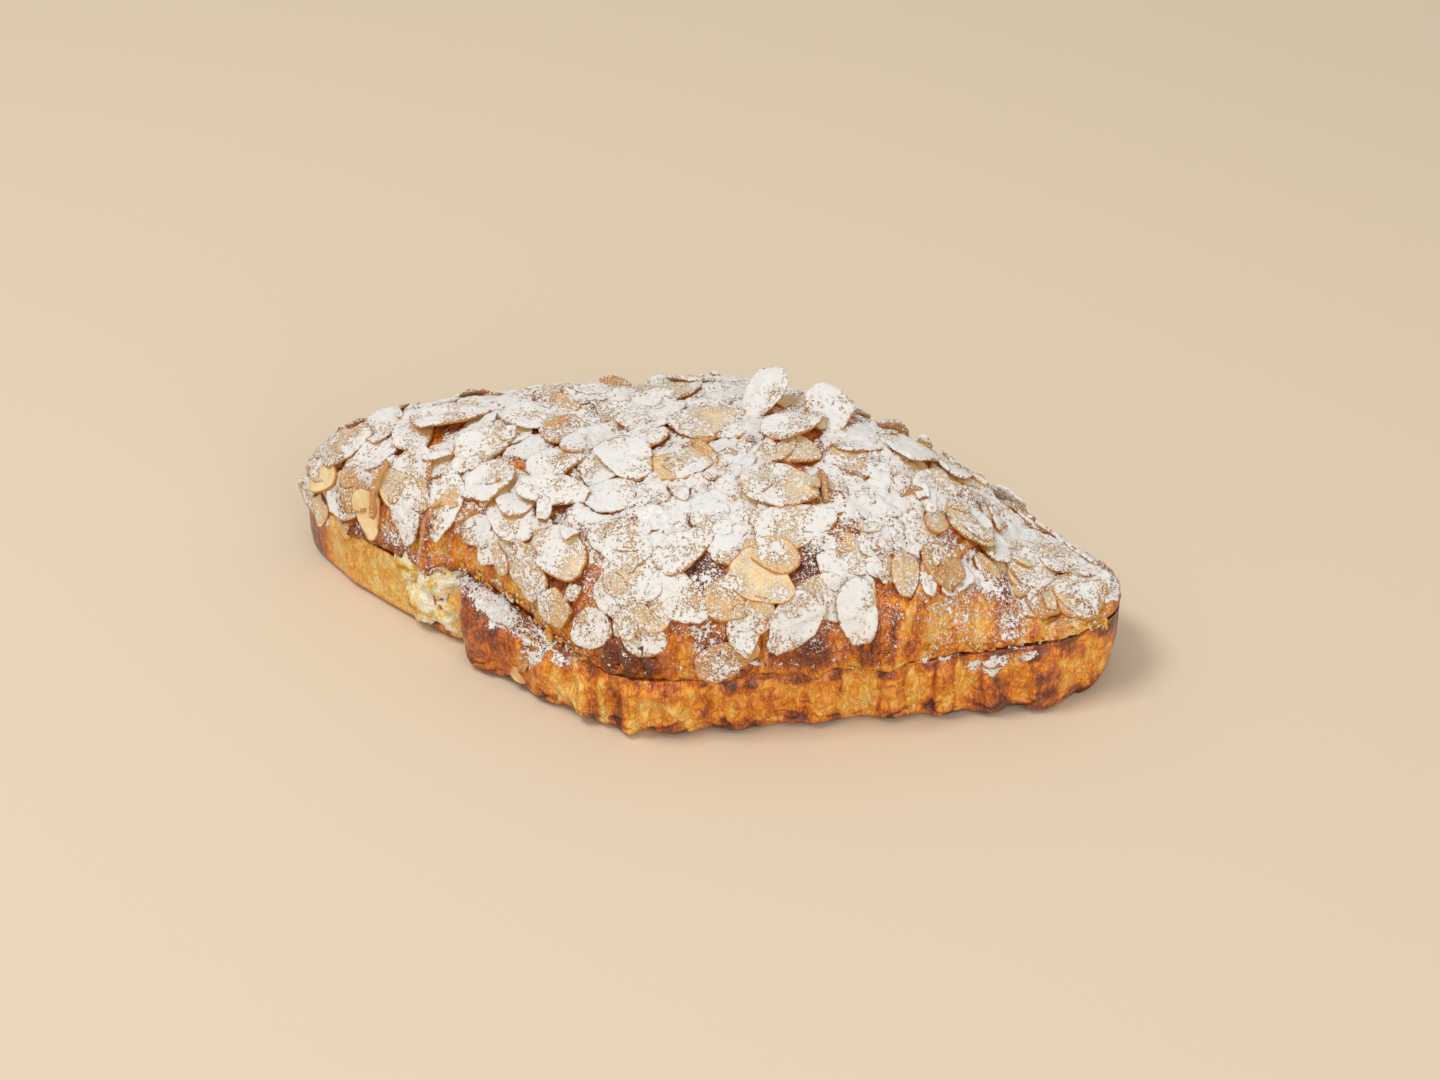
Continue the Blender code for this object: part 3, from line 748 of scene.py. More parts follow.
def skin(name, around, rings, turns, point, material):
    """A sphere whose vertices go where point(station, angle) says. turns shares out the segments."""
    shape = bmesh.new()
    bmesh.ops.create_uvsphere(shape, u_segments=around, v_segments=rings, radius=1.0)
    shares, angles = [share for share, _ in turns], [math.radians(angle) for _, angle in turns]
    bake_and_shade = shape.verts.layers.float.new("bake_and_shade")
    dusting = shape.verts.layers.float.new("dusting")
    for vertex in shape.verts:
        even = math.asin(max(-1.0, min(1.0, vertex.co.z))) * 2 / math.pi
        station = EVEN_SPACING * even + (1 - EVEN_SPACING) * vertex.co.z
        share = math.atan2(vertex.co.y, vertex.co.x) / math.tau % 1.0
        angle = float(np.interp(share, shares, angles))
        if angle > math.pi:
            angle -= math.tau
        place, vertex[bake_and_shade], vertex[dusting] = point(station, angle)
        vertex.co = place + CENTRE_SHIFT
    bmesh.ops.recalc_face_normals(shape, faces=shape.faces)
    thing = finished(name, shape, material)
    thing.data.shade_smooth()
    return thing


# %% Repeat a small shape
class Stamp:
    """A small shape that is repeated many times: its points and faces, read once from a bmesh."""

    def __init__(self, shape):
        self.points = np.array([vertex.co[:] for vertex in shape.verts])
        self.faces = [[vertex.index for vertex in face.verts] for face in shape.faces]
        shape.free()

    def joined(self, name, placed, material, **layers):
        """One mesh of all the placed copies, with a value per copy or per point in each named layer."""
        count = len(self.points)
        faces = [[corner + first for corner in face] for first in range(0, count * len(placed), count)
                 for face in self.faces]
        data = bpy.data.meshes.new(name)
        data.from_pydata(np.concatenate(placed).tolist(), [], faces)
        data.materials.append(material)
        for layer, values in layers.items():
            values = np.concatenate([np.broadcast_to(value, count) for value in values]).astype(np.float32)
            data.attributes.new(layer, "FLOAT", "POINT").data.foreach_set("value", values)
        data.shade_smooth()
        return in_scene(name, data)


# %% [markdown]
# ## The bottom half
# Its side shows the cut ends of the layers: pale, soft pillows between golden ribs, with creases and arcs
# darkened as painted shade, a dark line of painted shade along the top edge under the lid, and scallops along
# the sole darkened as painted shadow. Left of the middle the crust rolls out as a dark ledge.
# Sculpting every fold by hand would be slow and hard to change. Noise in three dimensions makes the folds
# here, and the same noise says how dark each of them is baked.

# %% Where sugar lies on the bottom half
# Bands from one place to another, x, y and z in mm, and their radius
SUGAR_BANDS = (
    (Vector((-40.5, -25.5, 16.5)), Vector((-31.0, -32.5, 15.4)), 3.0),
    (Vector((-31.0, -32.5, 15.4)), Vector((-18.5, -38.0, 14.0)), 2.4),
    (Vector((-22.5, -39.0, 9.0)), Vector((-19.5, -39.8, 11.5)), 1.6),
    (Vector((-15.5, -39.6, 11.5)), Vector((-12.5, -40.0, 13.8)), 2.0),
    (Vector((61.5, -20.0, 12.0)), Vector((70.5, -15.4, 13.6)), 1.7),
    (Vector((46.0, -26.5, 14.0)), Vector((57.0, -20.5, 14.2)), 0.6),
    (Vector((-84.0, 1.5, 12.0)), Vector((-77.0, -9.0, 12.5)), 2.2),
)


def patches(place):
    """How much sugar lies at a place of the bottom half."""
    most = 0.0
    spot = place / MM
    wander = 1.6 * noise.noise(spot / 2.3)
    for start, end, radius in SUGAR_BANDS:
        along = end - start
        share = min(1.0, max(0.0, (spot - start).dot(along) / along.length_squared))
        distance = (spot - start - along * share).length + wander
        most = max(most, 1 - smoothstep(0.6 * radius, 1.5 * radius, distance))
    return most


print(len(SUGAR_BANDS), "bands of sugar")

# %% Folds and pleats of the cut side
CLOSED_STATIONS = (-1, -0.6, -0.5, -0.12, -0.05, 0.58, 0.72, 1)
CLOSED_SHARES = (0.7, 0.5, 0, 0.1, 1, 1, 0.45, 0.45)


def bumps(place, size):
    """Noise from -1 to 1 with bumps of a size in mm."""
    return noise.noise(place / (size * MM))


def ripple(x, y, z):
    """Noise from -1 to 1 that is stretched by other amounts in each direction."""
    return noise.noise(Vector((x, y, z)))


def closing_in(station):
    """1 where the two halves have baked together so closely that the seam hardly shows."""
    return float(np.interp(station, CLOSED_STATIONS, CLOSED_SHARES))


def crust_folds(place, side):
    """Knobbles, layers, lumps and folds of the cut side, from -1 to 1, and the crevices near the sole."""
    knobble = bumps(place, 1.5) + 0.6 * bumps(place, 0.7)
    layer = ripple(place.x / (7 * MM), side * 3, place.z / (1.1 * MM))
    lump = bumps(place, 3.2)
    fold = 1 - 4 * abs(ripple(place.x / (5.5 * MM), side * 5, place.z / (11 * MM)))
    shaded_crevice = 1 - 5 * abs(ripple(place.x / (6 * MM), side * 2, place.z / (2.4 * MM)))
    return knobble, layer, lump, max(-1.0, fold), max(0.0, shaded_crevice)


def pleats(station, side, up):
    """The ridges of cut layers, the pillows between them, the creases beside them and the shadowed arcs."""
    sway = 0.55 * ripple(station * 16, side * 2, up * 1.8)
    rib = ribs(station) / RIB_DEPTH + sway
    clear = 0.5 + 0.8 * ripple(station * 7, side * 4, 0)
    if side < 0:
        clear = 0.35 + 0.65 * smoothstep(0.24, 0.34, station) * (1 - smoothstep(0.68, 0.74, station))
    ridge = smoothstep(0.40, 0.85, rib) * clear
    pillow = 1 - smoothstep(-0.35, 0.35, rib)
    shaded_crease = max(0.0, 1 - abs(rib - 0.22) / 0.26) * clear
    shaded_arc = smoothstep(0.62, 0.84, up + 0.2 * sway - 0.12 * pillow) * (1 - smoothstep(0.96, 1.02, up))
    return ridge, pillow * (0.5 + 0.5 * clear), shaded_crease, shaded_arc


def in_ruffles(station):
    """1 in the middle of the front, where the cut layers stand in strong ruffles."""
    return stretch(station, -0.28, -0.16, 0.12, 0.2)


print("the seam is closed to", round(closing_in(0.65), 2), "at station 0.65")


# %% How far the cut side stands out, and how dark it is baked
def blend(first, second, share):
    return first + (second - first) * share


def side_relief(station, side, up, folds):
    """How far the cut side stands out, in mm."""
    knobble, layer, lump, fold, shaded_crevice = folds
    ridge, pillow, shaded_crease, shaded_arc = pleats(station, side, up)
    low = 1 - smoothstep(0.2, 0.42, up)
    relief = 0.28 * knobble + 0.2 * layer + 0.8 * lump + (0.25 + in_ruffles(station)) * fold
    return relief + 0.5 * ridge + 0.3 * pillow - 0.4 * shaded_crease - 0.6 * shaded_arc - 0.9 * shaded_crevice * low


def side_tone(station, side, up, folds):
    """How dark the side is: bright ridges, golden pillows, a dark sole, and painted shade in creases, arcs,
    crevices and under the seam.
    """
    knobble, layer, lump, fold, shaded_crevice = folds
    ridge, pillow, shaded_crease, shaded_arc = pleats(station, side, up)
    shadow = 0.6 + 0.8 * abs(lump) + 0.4 * fold
    # Painted shade: the creases and the arcs under the seam are darkened.
    tone = 0.47 - 0.08 * ridge - 0.14 * pillow + 0.12 * shaded_crease + 0.15 * shaded_arc * shadow
    tone += 0.16 * knobble + 0.22 * lump - (0.12 + 0.18 * in_ruffles(station)) * fold + 0.10 * layer
    # Painted shade under the lid's edge: the top of the side is darker.
    tone += 0.22 * smoothstep(0.78, 1.0, up + 0.2 * lump + 0.1 * knobble)
    # Darker towards the sole, with painted shade in the crevices there.
    tone += (0.20 + 0.5 * shaded_crevice) * (1 - smoothstep(0.08, 0.34, up + 0.10 * fold))
    if side < 0:
        rolled = smoothstep(-0.57, -0.51, station) * (1 - smoothstep(-0.36, -0.25, station + 0.08 * lump))
        tone = blend(tone, 0.72 + 0.20 * lump + 0.10 * knobble, rolled)
        tone += 0.28 * smoothstep(0.70, 0.76, station) * (1 - smoothstep(0.84, 0.90, station)) * (1 - up)
    at_tip = 1 - smoothstep(-0.95, -0.86, station)
    smooth_tone = 0.14 + 0.22 * lump + 0.08 * layer + 0.08 * knobble + 0.7 * at_tip
    smooth_tone += 0.35 * (1 - smoothstep(0.0, 0.22, up + 0.1 * lump))
    return blend(smooth_tone, tone, smoothstep(-0.66, -0.52, station))


half_way_up = crust_folds(base_point(0.0, math.radians(-150)), -1)
print("in the middle the side stands out by", round(side_relief(0.0, -1, 0.5, half_way_up), 2), "mm")

# %% Fine bottom half
BASE_TURNS = ((0.0, 0), (0.26, 180), (0.62, 242), (0.68, 298), (1.0, 360))
BASE_FINE = (200, 540)
SOLE_TONE = 0.82
CUT_TONE = 0.18


def fine_base_point(station, angle):
    """The bottom half with its folds, its tone of browning and painted shade, and how much sugar was sieved on
    it.
    """
    place = base_point(station, angle)
    closing = end_rounding(station)
    top = seam_height(station) - RIM_GAP / 2
    side = math.copysign(1, math.cos(angle))
    ragged = 0.45 * ripple(place.x / (2.1 * MM), side * 8, 0)
    at_step = stretch(station, -0.525, -0.505, -0.475, -0.45) * (side < 0)
    if math.sin(angle) > 0:
        rough = 0.5 * MM * bumps(place, 4) + 0.2 * MM * bumps(place, 1.5)
        reach = abs(place.y - middle(station)) / max(half_width(station), 1 * MM)
        inner, outer = smoothstep(1.0, 0.85, reach), smoothstep(0.85, 0.96, reach)
        place.z += (rough * inner + ragged * MM * outer) * closing
        place.y += side * 0.9 * MM * closing_in(station) * closing * outer
        tone = 0.80 + 0.12 * bumps(place, 3)
        cover = patches(place)
        place.z += (0.3 + 0.9 * bumps(place, 1.4)) * cover * MM * closing
        return place, min(1.0, blend(tone, CUT_TONE, at_step)), 1.15 * cover
    turned = min(-angle, math.pi + angle) / (math.pi / 2)
    if turned > SIDE_TURN:
        return place, SOLE_TONE, 0.0
    up = place.z / top
    folds = crust_folds(place, side)
    textured = 0.25 + 0.75 * smoothstep(-0.66, -0.52, station)
    # Scallops along the sole, sunk in and darkened further down as painted shadow.
    shaded_scallop = smoothstep(0.05, 0.45, ripple(place.x / (6 * MM), side * 9, 0)) * (textured > 0.9)
    relief = side_relief(station, side, up, folds) * textured
    relief *= (0.3 + 0.7 * smoothstep(0.0, 0.3, up)) * (1 - smoothstep(0.9, 1.0, up))
    relief -= shaded_scallop * (1 - smoothstep(0.05, 0.26, up))
    relief += 1.3 * closing_in(station) * smoothstep(0.66, 0.95, up)
    place.y += side * relief * MM * closing
    place.z += ragged * MM * smoothstep(0.85, 1.0, up) * closing
    # Painted shadow in the scallops near the sole.
    tone = side_tone(station, side, up, folds) + 0.3 * shaded_scallop * (1 - smoothstep(0.1, 0.24, up))
    tone = blend(tone, CUT_TONE + 0.25 * folds[1] + 0.12 * folds[0], at_step)
    return place, min(1.0, max(0.0, tone)), 1.2 * patches(place)


base = skin("croissant_bottom", *BASE_FINE, BASE_TURNS, fine_base_point, BASE_CRUST)
print("bottom half:", len(base.data.polygons), "faces")

# %% [markdown]
# ## The lid
# The lid is the risen half, with rolled wraps that end in thin edges. Most of it disappears under almonds,
# but at the right, along the front rim and in a few spots between the flakes the blistered crust is bare. A
# displacement could roughen it too, but a function that moves each point can also say how dark and how
# dusted it is, so that colour and relief belong together.

# %% The bare front and the bare spots
# Along the bare front of the lid: station, how dark it is baked and how much sugar was sieved on it
BARE_FRONT = (
    (-1.00, 0.85, 0.7),
    (-0.85, 0.75, 0.7),
    (-0.70, 0.55, 0.7),
    (-0.52, 0.52, 0.6),
    (-0.46, 0.44, 0.4),
    (-0.42, 0.36, 0.0),
    (-0.12, 0.42, 0.0),
    (-0.07, 0.84, 0.2),
    (0.05, 0.84, 0.2),
    (0.07, 0.50, 0.1),
    (0.12, 0.56, 0.2),
    (0.15, 0.76, 0.7),
    (0.38, 0.74, 0.5),
    (0.46, 0.54, 0.3),
    (0.60, 0.56, 0.4),
    (0.62, 0.40, 0.55),
    (0.80, 0.36, 0.55),
    (1.00, 0.36, 0.55),
)
BARE_STATIONS, BARE_TONES, BARE_DUSTINGS = zip(*BARE_FRONT)

# Bare spots between the almonds: station, angle, radius in mm, how dark the crust is baked and how dusted
BARE_SPOTS = (
    (-0.66, 108, 7.0, 0.50, 0.20),
    (-0.39, 112, 4.0, 0.62, 0.15),
    (-0.15, 115, 4.5, 0.50, 0.15),
    (-0.10, 84, 4.5, 0.60, 0.25),
    (0.12, 143, 7.0, 0.95, 0.62),
    (0.23, 97, 4.0, 0.55, 0.15),
    (0.37, 141, 6.5, 0.95, 0.62),
)
SPOT_CENTRES = [lid_point(station, math.radians(angle)) for station, angle, *_ in BARE_SPOTS]


def bare_spot(place):
    """How far a place lies in a bare spot, from 0 to 1, and that spot's tone and dusting."""
    best = (0.0, 0.5, 0.0)
    wander = 1.5 * bumps(place, 2.5)
    for centre, (_, _, radius, tone, dusting) in zip(SPOT_CENTRES, BARE_SPOTS):
        distance = (place - centre).length / MM
        share = 1 - smoothstep(0.6 * radius, radius, distance + wander)
        if share > best[0]:
            best = (share, tone, dusting)
    return best


print(len(BARE_SPOTS), "bare spots between the almonds")

# %% Where the flakes end, and where the wraps end
FRINGE = 166
FRINGE_LIFT_OVER_CREAM = 24
FRINGE_LIFT_ON_RIGHT = 40


def fringe(station):
    """The angle down to which flakes lie on the front: not over the cream or on the right."""
    over_cream = stretch(station, -0.72, -0.66, -0.44, -0.38)
    on_right = smoothstep(0.46, 0.54, station)
    return math.radians(FRINGE - FRINGE_LIFT_OVER_CREAM * over_cream - FRINGE_LIFT_ON_RIGHT * on_right)


def edge_distance(wraps, station, angle):
    """How far inwards from the nearest wrap edge a point lies, as a share of the half length."""
    distances = [inwards(place, lean, station, angle) for place, lean, _ in wraps]
    return min([1.0] + [distance for distance in distances if distance >= 0])


print("flakes lie down to", round(math.degrees(fringe(0.0))), "degrees in the middle")

# %% Fine lid
LID_TURNS = ((0.0, 0), (0.86, 180), (1.0, 360))
LID_FINE = (220, 520)
INSIDE_TONE = 0.75
LIGHTEST_BARE_TONE = 0.24


def fine_lid_point(station, angle):
    """The lid with blisters, folds and layers, its tone of browning and painted shade, and how much sugar was
    sieved on it.
    """
    place = lid_point(station, angle)
    if math.sin(angle) < 0:
        return place, INSIDE_TONE, 0.0
    closing = end_rounding(station)
    rise = place.z - seam_height(station) - RIM_GAP / 2 - LEDGE_RISE * ledge(station) * front(angle)
    outward = Vector((0, math.cos(angle), math.sin(angle)))
    bare = smoothstep(fringe(station) - 0.14, fringe(station) + 0.06, angle)
    ribbon = stretch(station, -0.47, -0.42, -0.12, -0.08) * bare
    blister = bumps(place, 5)
    fold = (0.7 - 3 * abs(ripple(place.x / (4.2 * MM), 5, rise / (11 * MM)))) * bare
    wrinkle = 0.3 - abs(bumps(place, 1.9))
    pimple = bumps(place, 1.2)
    layer = ripple(place.x / (8 * MM), 2, rise / (0.5 * MM))
    inward = edge_distance(LID_WRAPS, station, angle) * LENGTH / (2 * MM)
    strip = stretch(inward, 0.0, 0.5, 1.4, 2.1)
    low = 1 - smoothstep(1.0 * MM, 4.0 * MM, rise)
    relief = 0.45 * blister + 1.2 * fold + 1.1 * wrinkle + 0.35 * pimple + 0.6 * strip + 0.28 * layer * low
    relief = blend(relief, 0.35 * blister + 0.5 * fold - 0.5 * low + 0.2 * layer + 0.2 * pimple, ribbon)
    place += outward * relief * MM * closing * smoothstep(0, 1.5 * MM, rise)
    ragged = ripple(place.x / (4.5 * MM), 6, 0) + 0.5 * ripple(place.x / (1.3 * MM), 4, 0)
    at_rim = closing * (1 - smoothstep(0.2 * MM, 2.4 * MM, rise))
    tongue = ripple(place.x / (9 * MM), 9, math.cos(angle)) + 0.7 * ripple(place.x / (3.2 * MM), 9, 0)
    drape = closing_in(station) * (0.9 + 1.7 * tongue)
    place.z += (ragged - 0.1 - drape) * MM * at_rim
    overhang = math.copysign(0.9 + 0.5 * ragged + 0.6 * tongue, math.cos(angle))
    place.y += overhang * closing_in(station) * MM * at_rim
    # Under the flakes the crust is darker, partly from browning and partly as painted shade between the flakes.
    tone = 0.64 + 0.22 * blister + 0.10 * pimple
    bare_tone = np.interp(station, BARE_STATIONS, BARE_TONES) + 0.22 * blister + 0.26 * fold + 0.16 * pimple
    # Near the seam: painted shade where the halves gape, and painted light where they have closed, against the
    # seam's shadow.
    painted_seam_shading = 1 - smoothstep(0.3 * MM, 2.0 * MM, rise + 0.8 * MM * blister)
    bare_tone += (0.20 - 0.50 * closing_in(station)) * painted_seam_shading
    tone = blend(tone, max(LIGHTEST_BARE_TONE, float(bare_tone)), bare) - 0.26 * strip
    spot, spot_tone, spot_dusting = bare_spot(place)
    tone = blend(tone, spot_tone + 0.22 * blister + 0.16 * pimple, spot)
    upper = smoothstep(math.radians(145), math.radians(115), angle)
    dusting = blend(0.56 + 0.50 * upper, float(np.interp(station, BARE_STATIONS, BARE_DUSTINGS)), bare)
    return place, min(1.0, max(0.0, tone)), blend(dusting, spot_dusting, spot)


lid = skin("croissant_lid", *LID_FINE, LID_TURNS, fine_lid_point, LID_CRUST)
print("lid:", len(lid.data.polygons), "faces")

# %% [markdown]
# ## Almond cream
# The cream fills the gap between the halves and wells out at the front left in pale crumbly lumps. The layer
# is a flat skin that follows the hollow. The lumps are balls that noise makes crumbly, because cream that has
# been baked keeps the shape it was squeezed into.

# %% Cream layer and lumps
WELL_LUMPS = (
    (Vector((-51.5 * MM, -20.0 * MM, 13.2 * MM)), 5.0 * MM),
    (Vector((-45.5 * MM, -22.6 * MM, 13.8 * MM)), 5.6 * MM),
    (Vector((-48.5 * MM, -21.6 * MM, 6.2 * MM)), 5.8 * MM),
    (Vector((-42.8 * MM, -23.4 * MM, 5.8 * MM)), 5.2 * MM),
)
LUMP_FLATNESS = 0.75
LUMP_ROUGHNESS = 0.9 * MM
CREAM_REACH = 0.80
CREAM_FILL = 0.75
CREAM_LENGTH = 0.92


def cream_point(station, angle):
    """The layer of cream fills the hollow between the halves, a fit gap short of each."""
    side = -1 if math.cos(angle) < 0 else 1
    offset = math.cos(angle) * CREAM_REACH * rim_reach(station * CREAM_LENGTH, side)
    depth = RIM_GAP / 2 + CREAM_FILL * hollow_depth(station * CREAM_LENGTH, offset) - FIT_GAP
    height = parting(station * CREAM_LENGTH, offset) + depth * max(-1.0, min(1.0, 3 * math.sin(angle)))
    return Vector((station * CREAM_LENGTH * LENGTH / 2, middle(station) + offset, height)), 0.0, 0.0


cream = skin("almond_cream_layer", 48, 90, ((0, 0), (1, 360)), cream_point, CREAM)


def add_lump(shape, centre, radius):
    """A lump of cream with a crumbly skin."""
    made = bmesh.ops.create_icosphere(shape, subdivisions=5, radius=1.0)
    for vertex in made["verts"]:
        outward = vertex.co.normalized()
        rough = LUMP_ROUGHNESS * noise.noise(centre * 300 + outward * 2)
        crumbs = 0.8 * MM * bumps(centre + outward * radius, 1.7)
        crumbs += 0.35 * MM * bumps(centre + outward * radius, 0.7)
        reach = outward * (radius + rough + crumbs)
        reach.y *= LUMP_FLATNESS
        vertex.co = centre + reach + CENTRE_SHIFT
        vertex.co.z = max(vertex.co.z, FIT_GAP)


lumps = bmesh.new()
for lump_centre, lump_radius in WELL_LUMPS:
    add_lump(lumps, lump_centre, lump_radius)
cream_lumps = finished("almond_cream_lumps", lumps, CREAM)
cream_lumps.data.shade_smooth()
print("cream:", len(cream.data.polygons) + len(cream_lumps.data.polygons), "faces")

# %% [markdown]
# ## Sliced almonds
# The almonds are what the eye sees first. Those that stand out have their place given one by one, and the
# others are scattered from a fixed seed. Pure chance would heap some of them up and leave gaps, so each new
# one keeps its distance from those before.

# %% How the flakes are laid
FLAKE_LENGTH = 14.5 * MM
FLAKE_WIDTH = 9.8 * MM
FLAKE_THICKNESS = 1.1 * MM
FLAKE_SINK = 0.5 * MM
FLAKE_CORNERS = 8
FLAKE_COUNT = 140
FLAKE_SPACING = 7.2 * MM
STEEPEST_LEAN = 0.45
RAY_START = 14 * MM
RAY_DEPTH = 5 * MM
LOWEST_FACING = 0.2
LAST_FLAKE_STATION = 0.92
SEED = 7

# Station, angle, turn of the long axis from +X in degrees, length and width in mm, the share of the far end
# that is kept, the slope of those that stand, and how much sugar lies on it
Flake = namedtuple("Flake", "station angle spin length width kept standing sugar")
CHOSEN_FLAKES = (
    (-0.90, 138, 18, 11, 9, 1.0, None, 0.2),
    (-0.85, 108, -40, 13, 10, 1.0, None, 1.0),
    (-0.74, 158, 76, 11, 7, 1.0, None, 0.1),
    (-0.62, 88, -20, 17, 10, 1.0, None, 1.3),
    (-0.63, 148, 70, 13, 8, 1.0, None, 0.9),
    (-0.49, 104, -45, 14, 9, 1.0, None, 1.1),
    (-0.46, 70, -50, 14, 10, 1.0, None, 1.0),
    (-0.41, 87, -40, 12, 10, 1.0, None, 1.2),
    (-0.44, 127, 86, 13, 11, 0.5, None, 1.1),
    (-0.53, 140, 99, 14, 7, 1.0, None, 1.3),
    (-0.31, 90, -60, 13, 10, 0.6, None, 0.6),
    (-0.29, 106, -53, 13, 9, 1.0, None, 1.0),
    (-0.25, 92, -67, 15, 6, 1.0, None, 1.3),
    (-0.27, 119, -9, 15, 8, 1.0, None, 1.0),
    (-0.13, 82, -40, 14, 11, 1.0, None, 1.0),
    (-0.13, 101, 34, 14, 11, 1.0, None, 1.2),
    (-0.26, 157, 28, 14, 8, 1.0, None, 0.8),
    (-0.20, 141, 26, 14, 10, 1.0, None, 0.8),
    (-0.18, 164, 17, 10, 7, 0.6, None, 0.7),
    (-0.04, 133, 34, 13, 9, 0.6, None, 0.9),
    (0.02, 117, -30, 14, 7, 1.0, None, 1.2),
    (0.00, 83, -48, 16, 12, 1.0, None, 0.8),
    (0.08, 131, -34, 13, 8, 1.0, None, 0.9),
    (0.09, 149, 35, 13, 9, 1.0, None, 0.9),
    (0.01, 158, 228, 15, 9, 0.5, None, 0.9),
    (0.21, 173, -20, 13, 7, 1.0, None, 0.6),
    (0.24, 162, 96, 11, 7, 1.0, None, 1.0),
    (0.34, 160, 129, 14, 9, 1.0, None, 1.1),
    (0.26, 142, 40, 14, 10, 1.0, None, 0.7),
    (0.30, 123, -26, 17, 9, 1.0, None, 1.2),
    (0.24, 108, 5, 15, 12, 1.0, None, 0.9),
    (0.23, 91, 0, 12, 9, 1.0, None, 1.0),
    (0.11, 72, 100, 11, 9, 1.0, -0.7, 1.3),
    (0.27, 72, 70, 12, 10, 1.0, -0.5, 1.2),
    (0.21, 84, -50, 14, 9, 1.0, None, 0.9),
    (0.37, 80, -50, 15, 8, 1.0, None, 1.0),
    (0.47, 68, -70, 16, 11, 1.0, None, 1.1),
    (0.47, 155, 74, 14, 8, 1.0, None, 1.3),
    (0.55, 132, 72, 9, 6, 1.0, None, 0.8),
    (0.60, 129, 84, 8, 5, 1.0, None, 0.9),
    (0.65, 125, 117, 9, 6, 1.0, None, 1.1),
    (0.58, 99, -64, 10, 5, 0.3, None, 0.55),
    (0.84, 119, 93, 8, 6, 1.0, None, 0.8),
    (0.87, 72, -60, 14, 9, 1.0, None, 1.0),
    (0.91, 110, 75, 12, 9, 1.0, None, 0.8),
)


def scattered_flakes():
    """Flakes all over the lid that keep their distance from each other and from the chosen ones."""
    draw = random.Random(SEED)
    centres = [lid_point(station, math.radians(angle)) for station, angle, *_ in CHOSEN_FLAKES]
    flakes = []
    while len(centres) < FLAKE_COUNT:
        station = draw.uniform(-LAST_FLAKE_STATION, LAST_FLAKE_STATION)
        angle = draw.uniform(math.radians(14), fringe(station))
        spin = draw.uniform(0, 360)
        size = draw.uniform(0.8, 1.08)
        kept = draw.choice((1.0, 1.0, 1.0, 0.55, 0.3))
        centre = lid_point(station, angle)
        if min((centre - other).length for other in centres) < FLAKE_SPACING * draw.uniform(0.75, 1.0):
            continue
        centres.append(centre)
        length, width = size * FLAKE_LENGTH / MM, size * FLAKE_WIDTH / MM
        flakes.append(Flake(station, math.degrees(angle), spin, length, width, kept, None, 1.0))
    return flakes


FLAKES = scattered_flakes() + [Flake(*row) for row in CHOSEN_FLAKES]
print(len(FLAKES), "flakes at their places")


# %% [markdown]
# ## How a flake comes to rest
# A flake that falls on the lid lies on whatever is highest below it. A physics simulation could drop them
# all, but its result can't be steered to look like this pastry. So each flake is lowered by rays, which tell
# how high the crust and the earlier flakes stand below it, and a plane through these heights gives its lean.


# %% What a flake rests on
def joined_tree(*things):
    """One tree of faces that rays can be cast at."""
    points, faces = [], []
    for thing in things:
        first = len(points)
        points.extend(vertex.co.copy() for vertex in thing.data.vertices)
        faces.extend([first + corner for corner in face.vertices] for face in thing.data.polygons)
    return BVHTree.FromPolygons(points, faces)


class Support:
    """Surfaces that a flake can come to rest on. Those that stay the same are looked up separately."""

    def __init__(self, *things):
        self.fixed = [joined_tree(thing) for thing in things]
        self.points, self.faces, self.tree = [], [], None

    def add(self, points):
        """The upper face of a flake that has come to rest, as a fan of its corners."""
        first = len(self.points)
        self.points.extend(points)
        self.faces.append(list(range(first, first + len(points))))
        self.tree = BVHTree.FromPolygons(self.points, self.faces)

    def height(self, point, outward):
        """How far the support stands above a point, or None beside it."""
        heights = []
        for tree in self.fixed + ([self.tree] if self.tree else []):
            hit, _, _, distance = tree.ray_cast(point + outward * RAY_START, -outward, RAY_START + RAY_DEPTH)
            if hit is not None:
                heights.append(RAY_START - distance)
        return max(heights) if heights else None


lid_support, base_support = Support(lid), Support(base, cream, cream_lumps)
print("surfaces to rest on:", len(lid_support.fixed) + len(base_support.fixed))

# %% Lower a flake
STATION_STEP = 0.02
ANGLE_STEP = 0.06
FOOT_TAPER = 0.22


def crust_frame(station, angle):
    """A point on the lid with the directions along it, down it towards the front, and out of it."""
    here = lid_point(station, angle)
    along = (lid_point(station + STATION_STEP, angle) - lid_point(station - STATION_STEP, angle)).normalized()
    down = (lid_point(station, angle + ANGLE_STEP) - lid_point(station, angle - ANGLE_STEP)).normalized()
    outward = along.cross(down).normalized() * -1
    outward.z = max(outward.z, LOWEST_FACING)
    outward.normalize()
    along = (along - outward * along.dot(outward)).normalized()
    return here + CENTRE_SHIFT, along, along.cross(outward), outward


def flake_frame(station, angle, spin):
    """A point on the lid with the directions along a flake that is turned there, across it and out of it."""
    here, along, down, outward = crust_frame(station, math.radians(angle))
    lengthwise = along * math.cos(math.radians(spin)) + down * math.sin(math.radians(spin))
    return here, lengthwise, outward.cross(lengthwise), outward


def flake_corners(length, width, kept):
    """The corners of a flake's outline, on its own two axes."""
    corners = []
    for number in range(FLAKE_CORNERS):
        turn = math.tau * (number + 0.5) / FLAKE_CORNERS
        lengthwise = math.cos(turn)
        breadth = math.sin(turn) * (1 - FOOT_TAPER * lengthwise)
        corners.append(Vector((min(lengthwise, kept) * length / 2, breadth * width / 2)))
    return corners


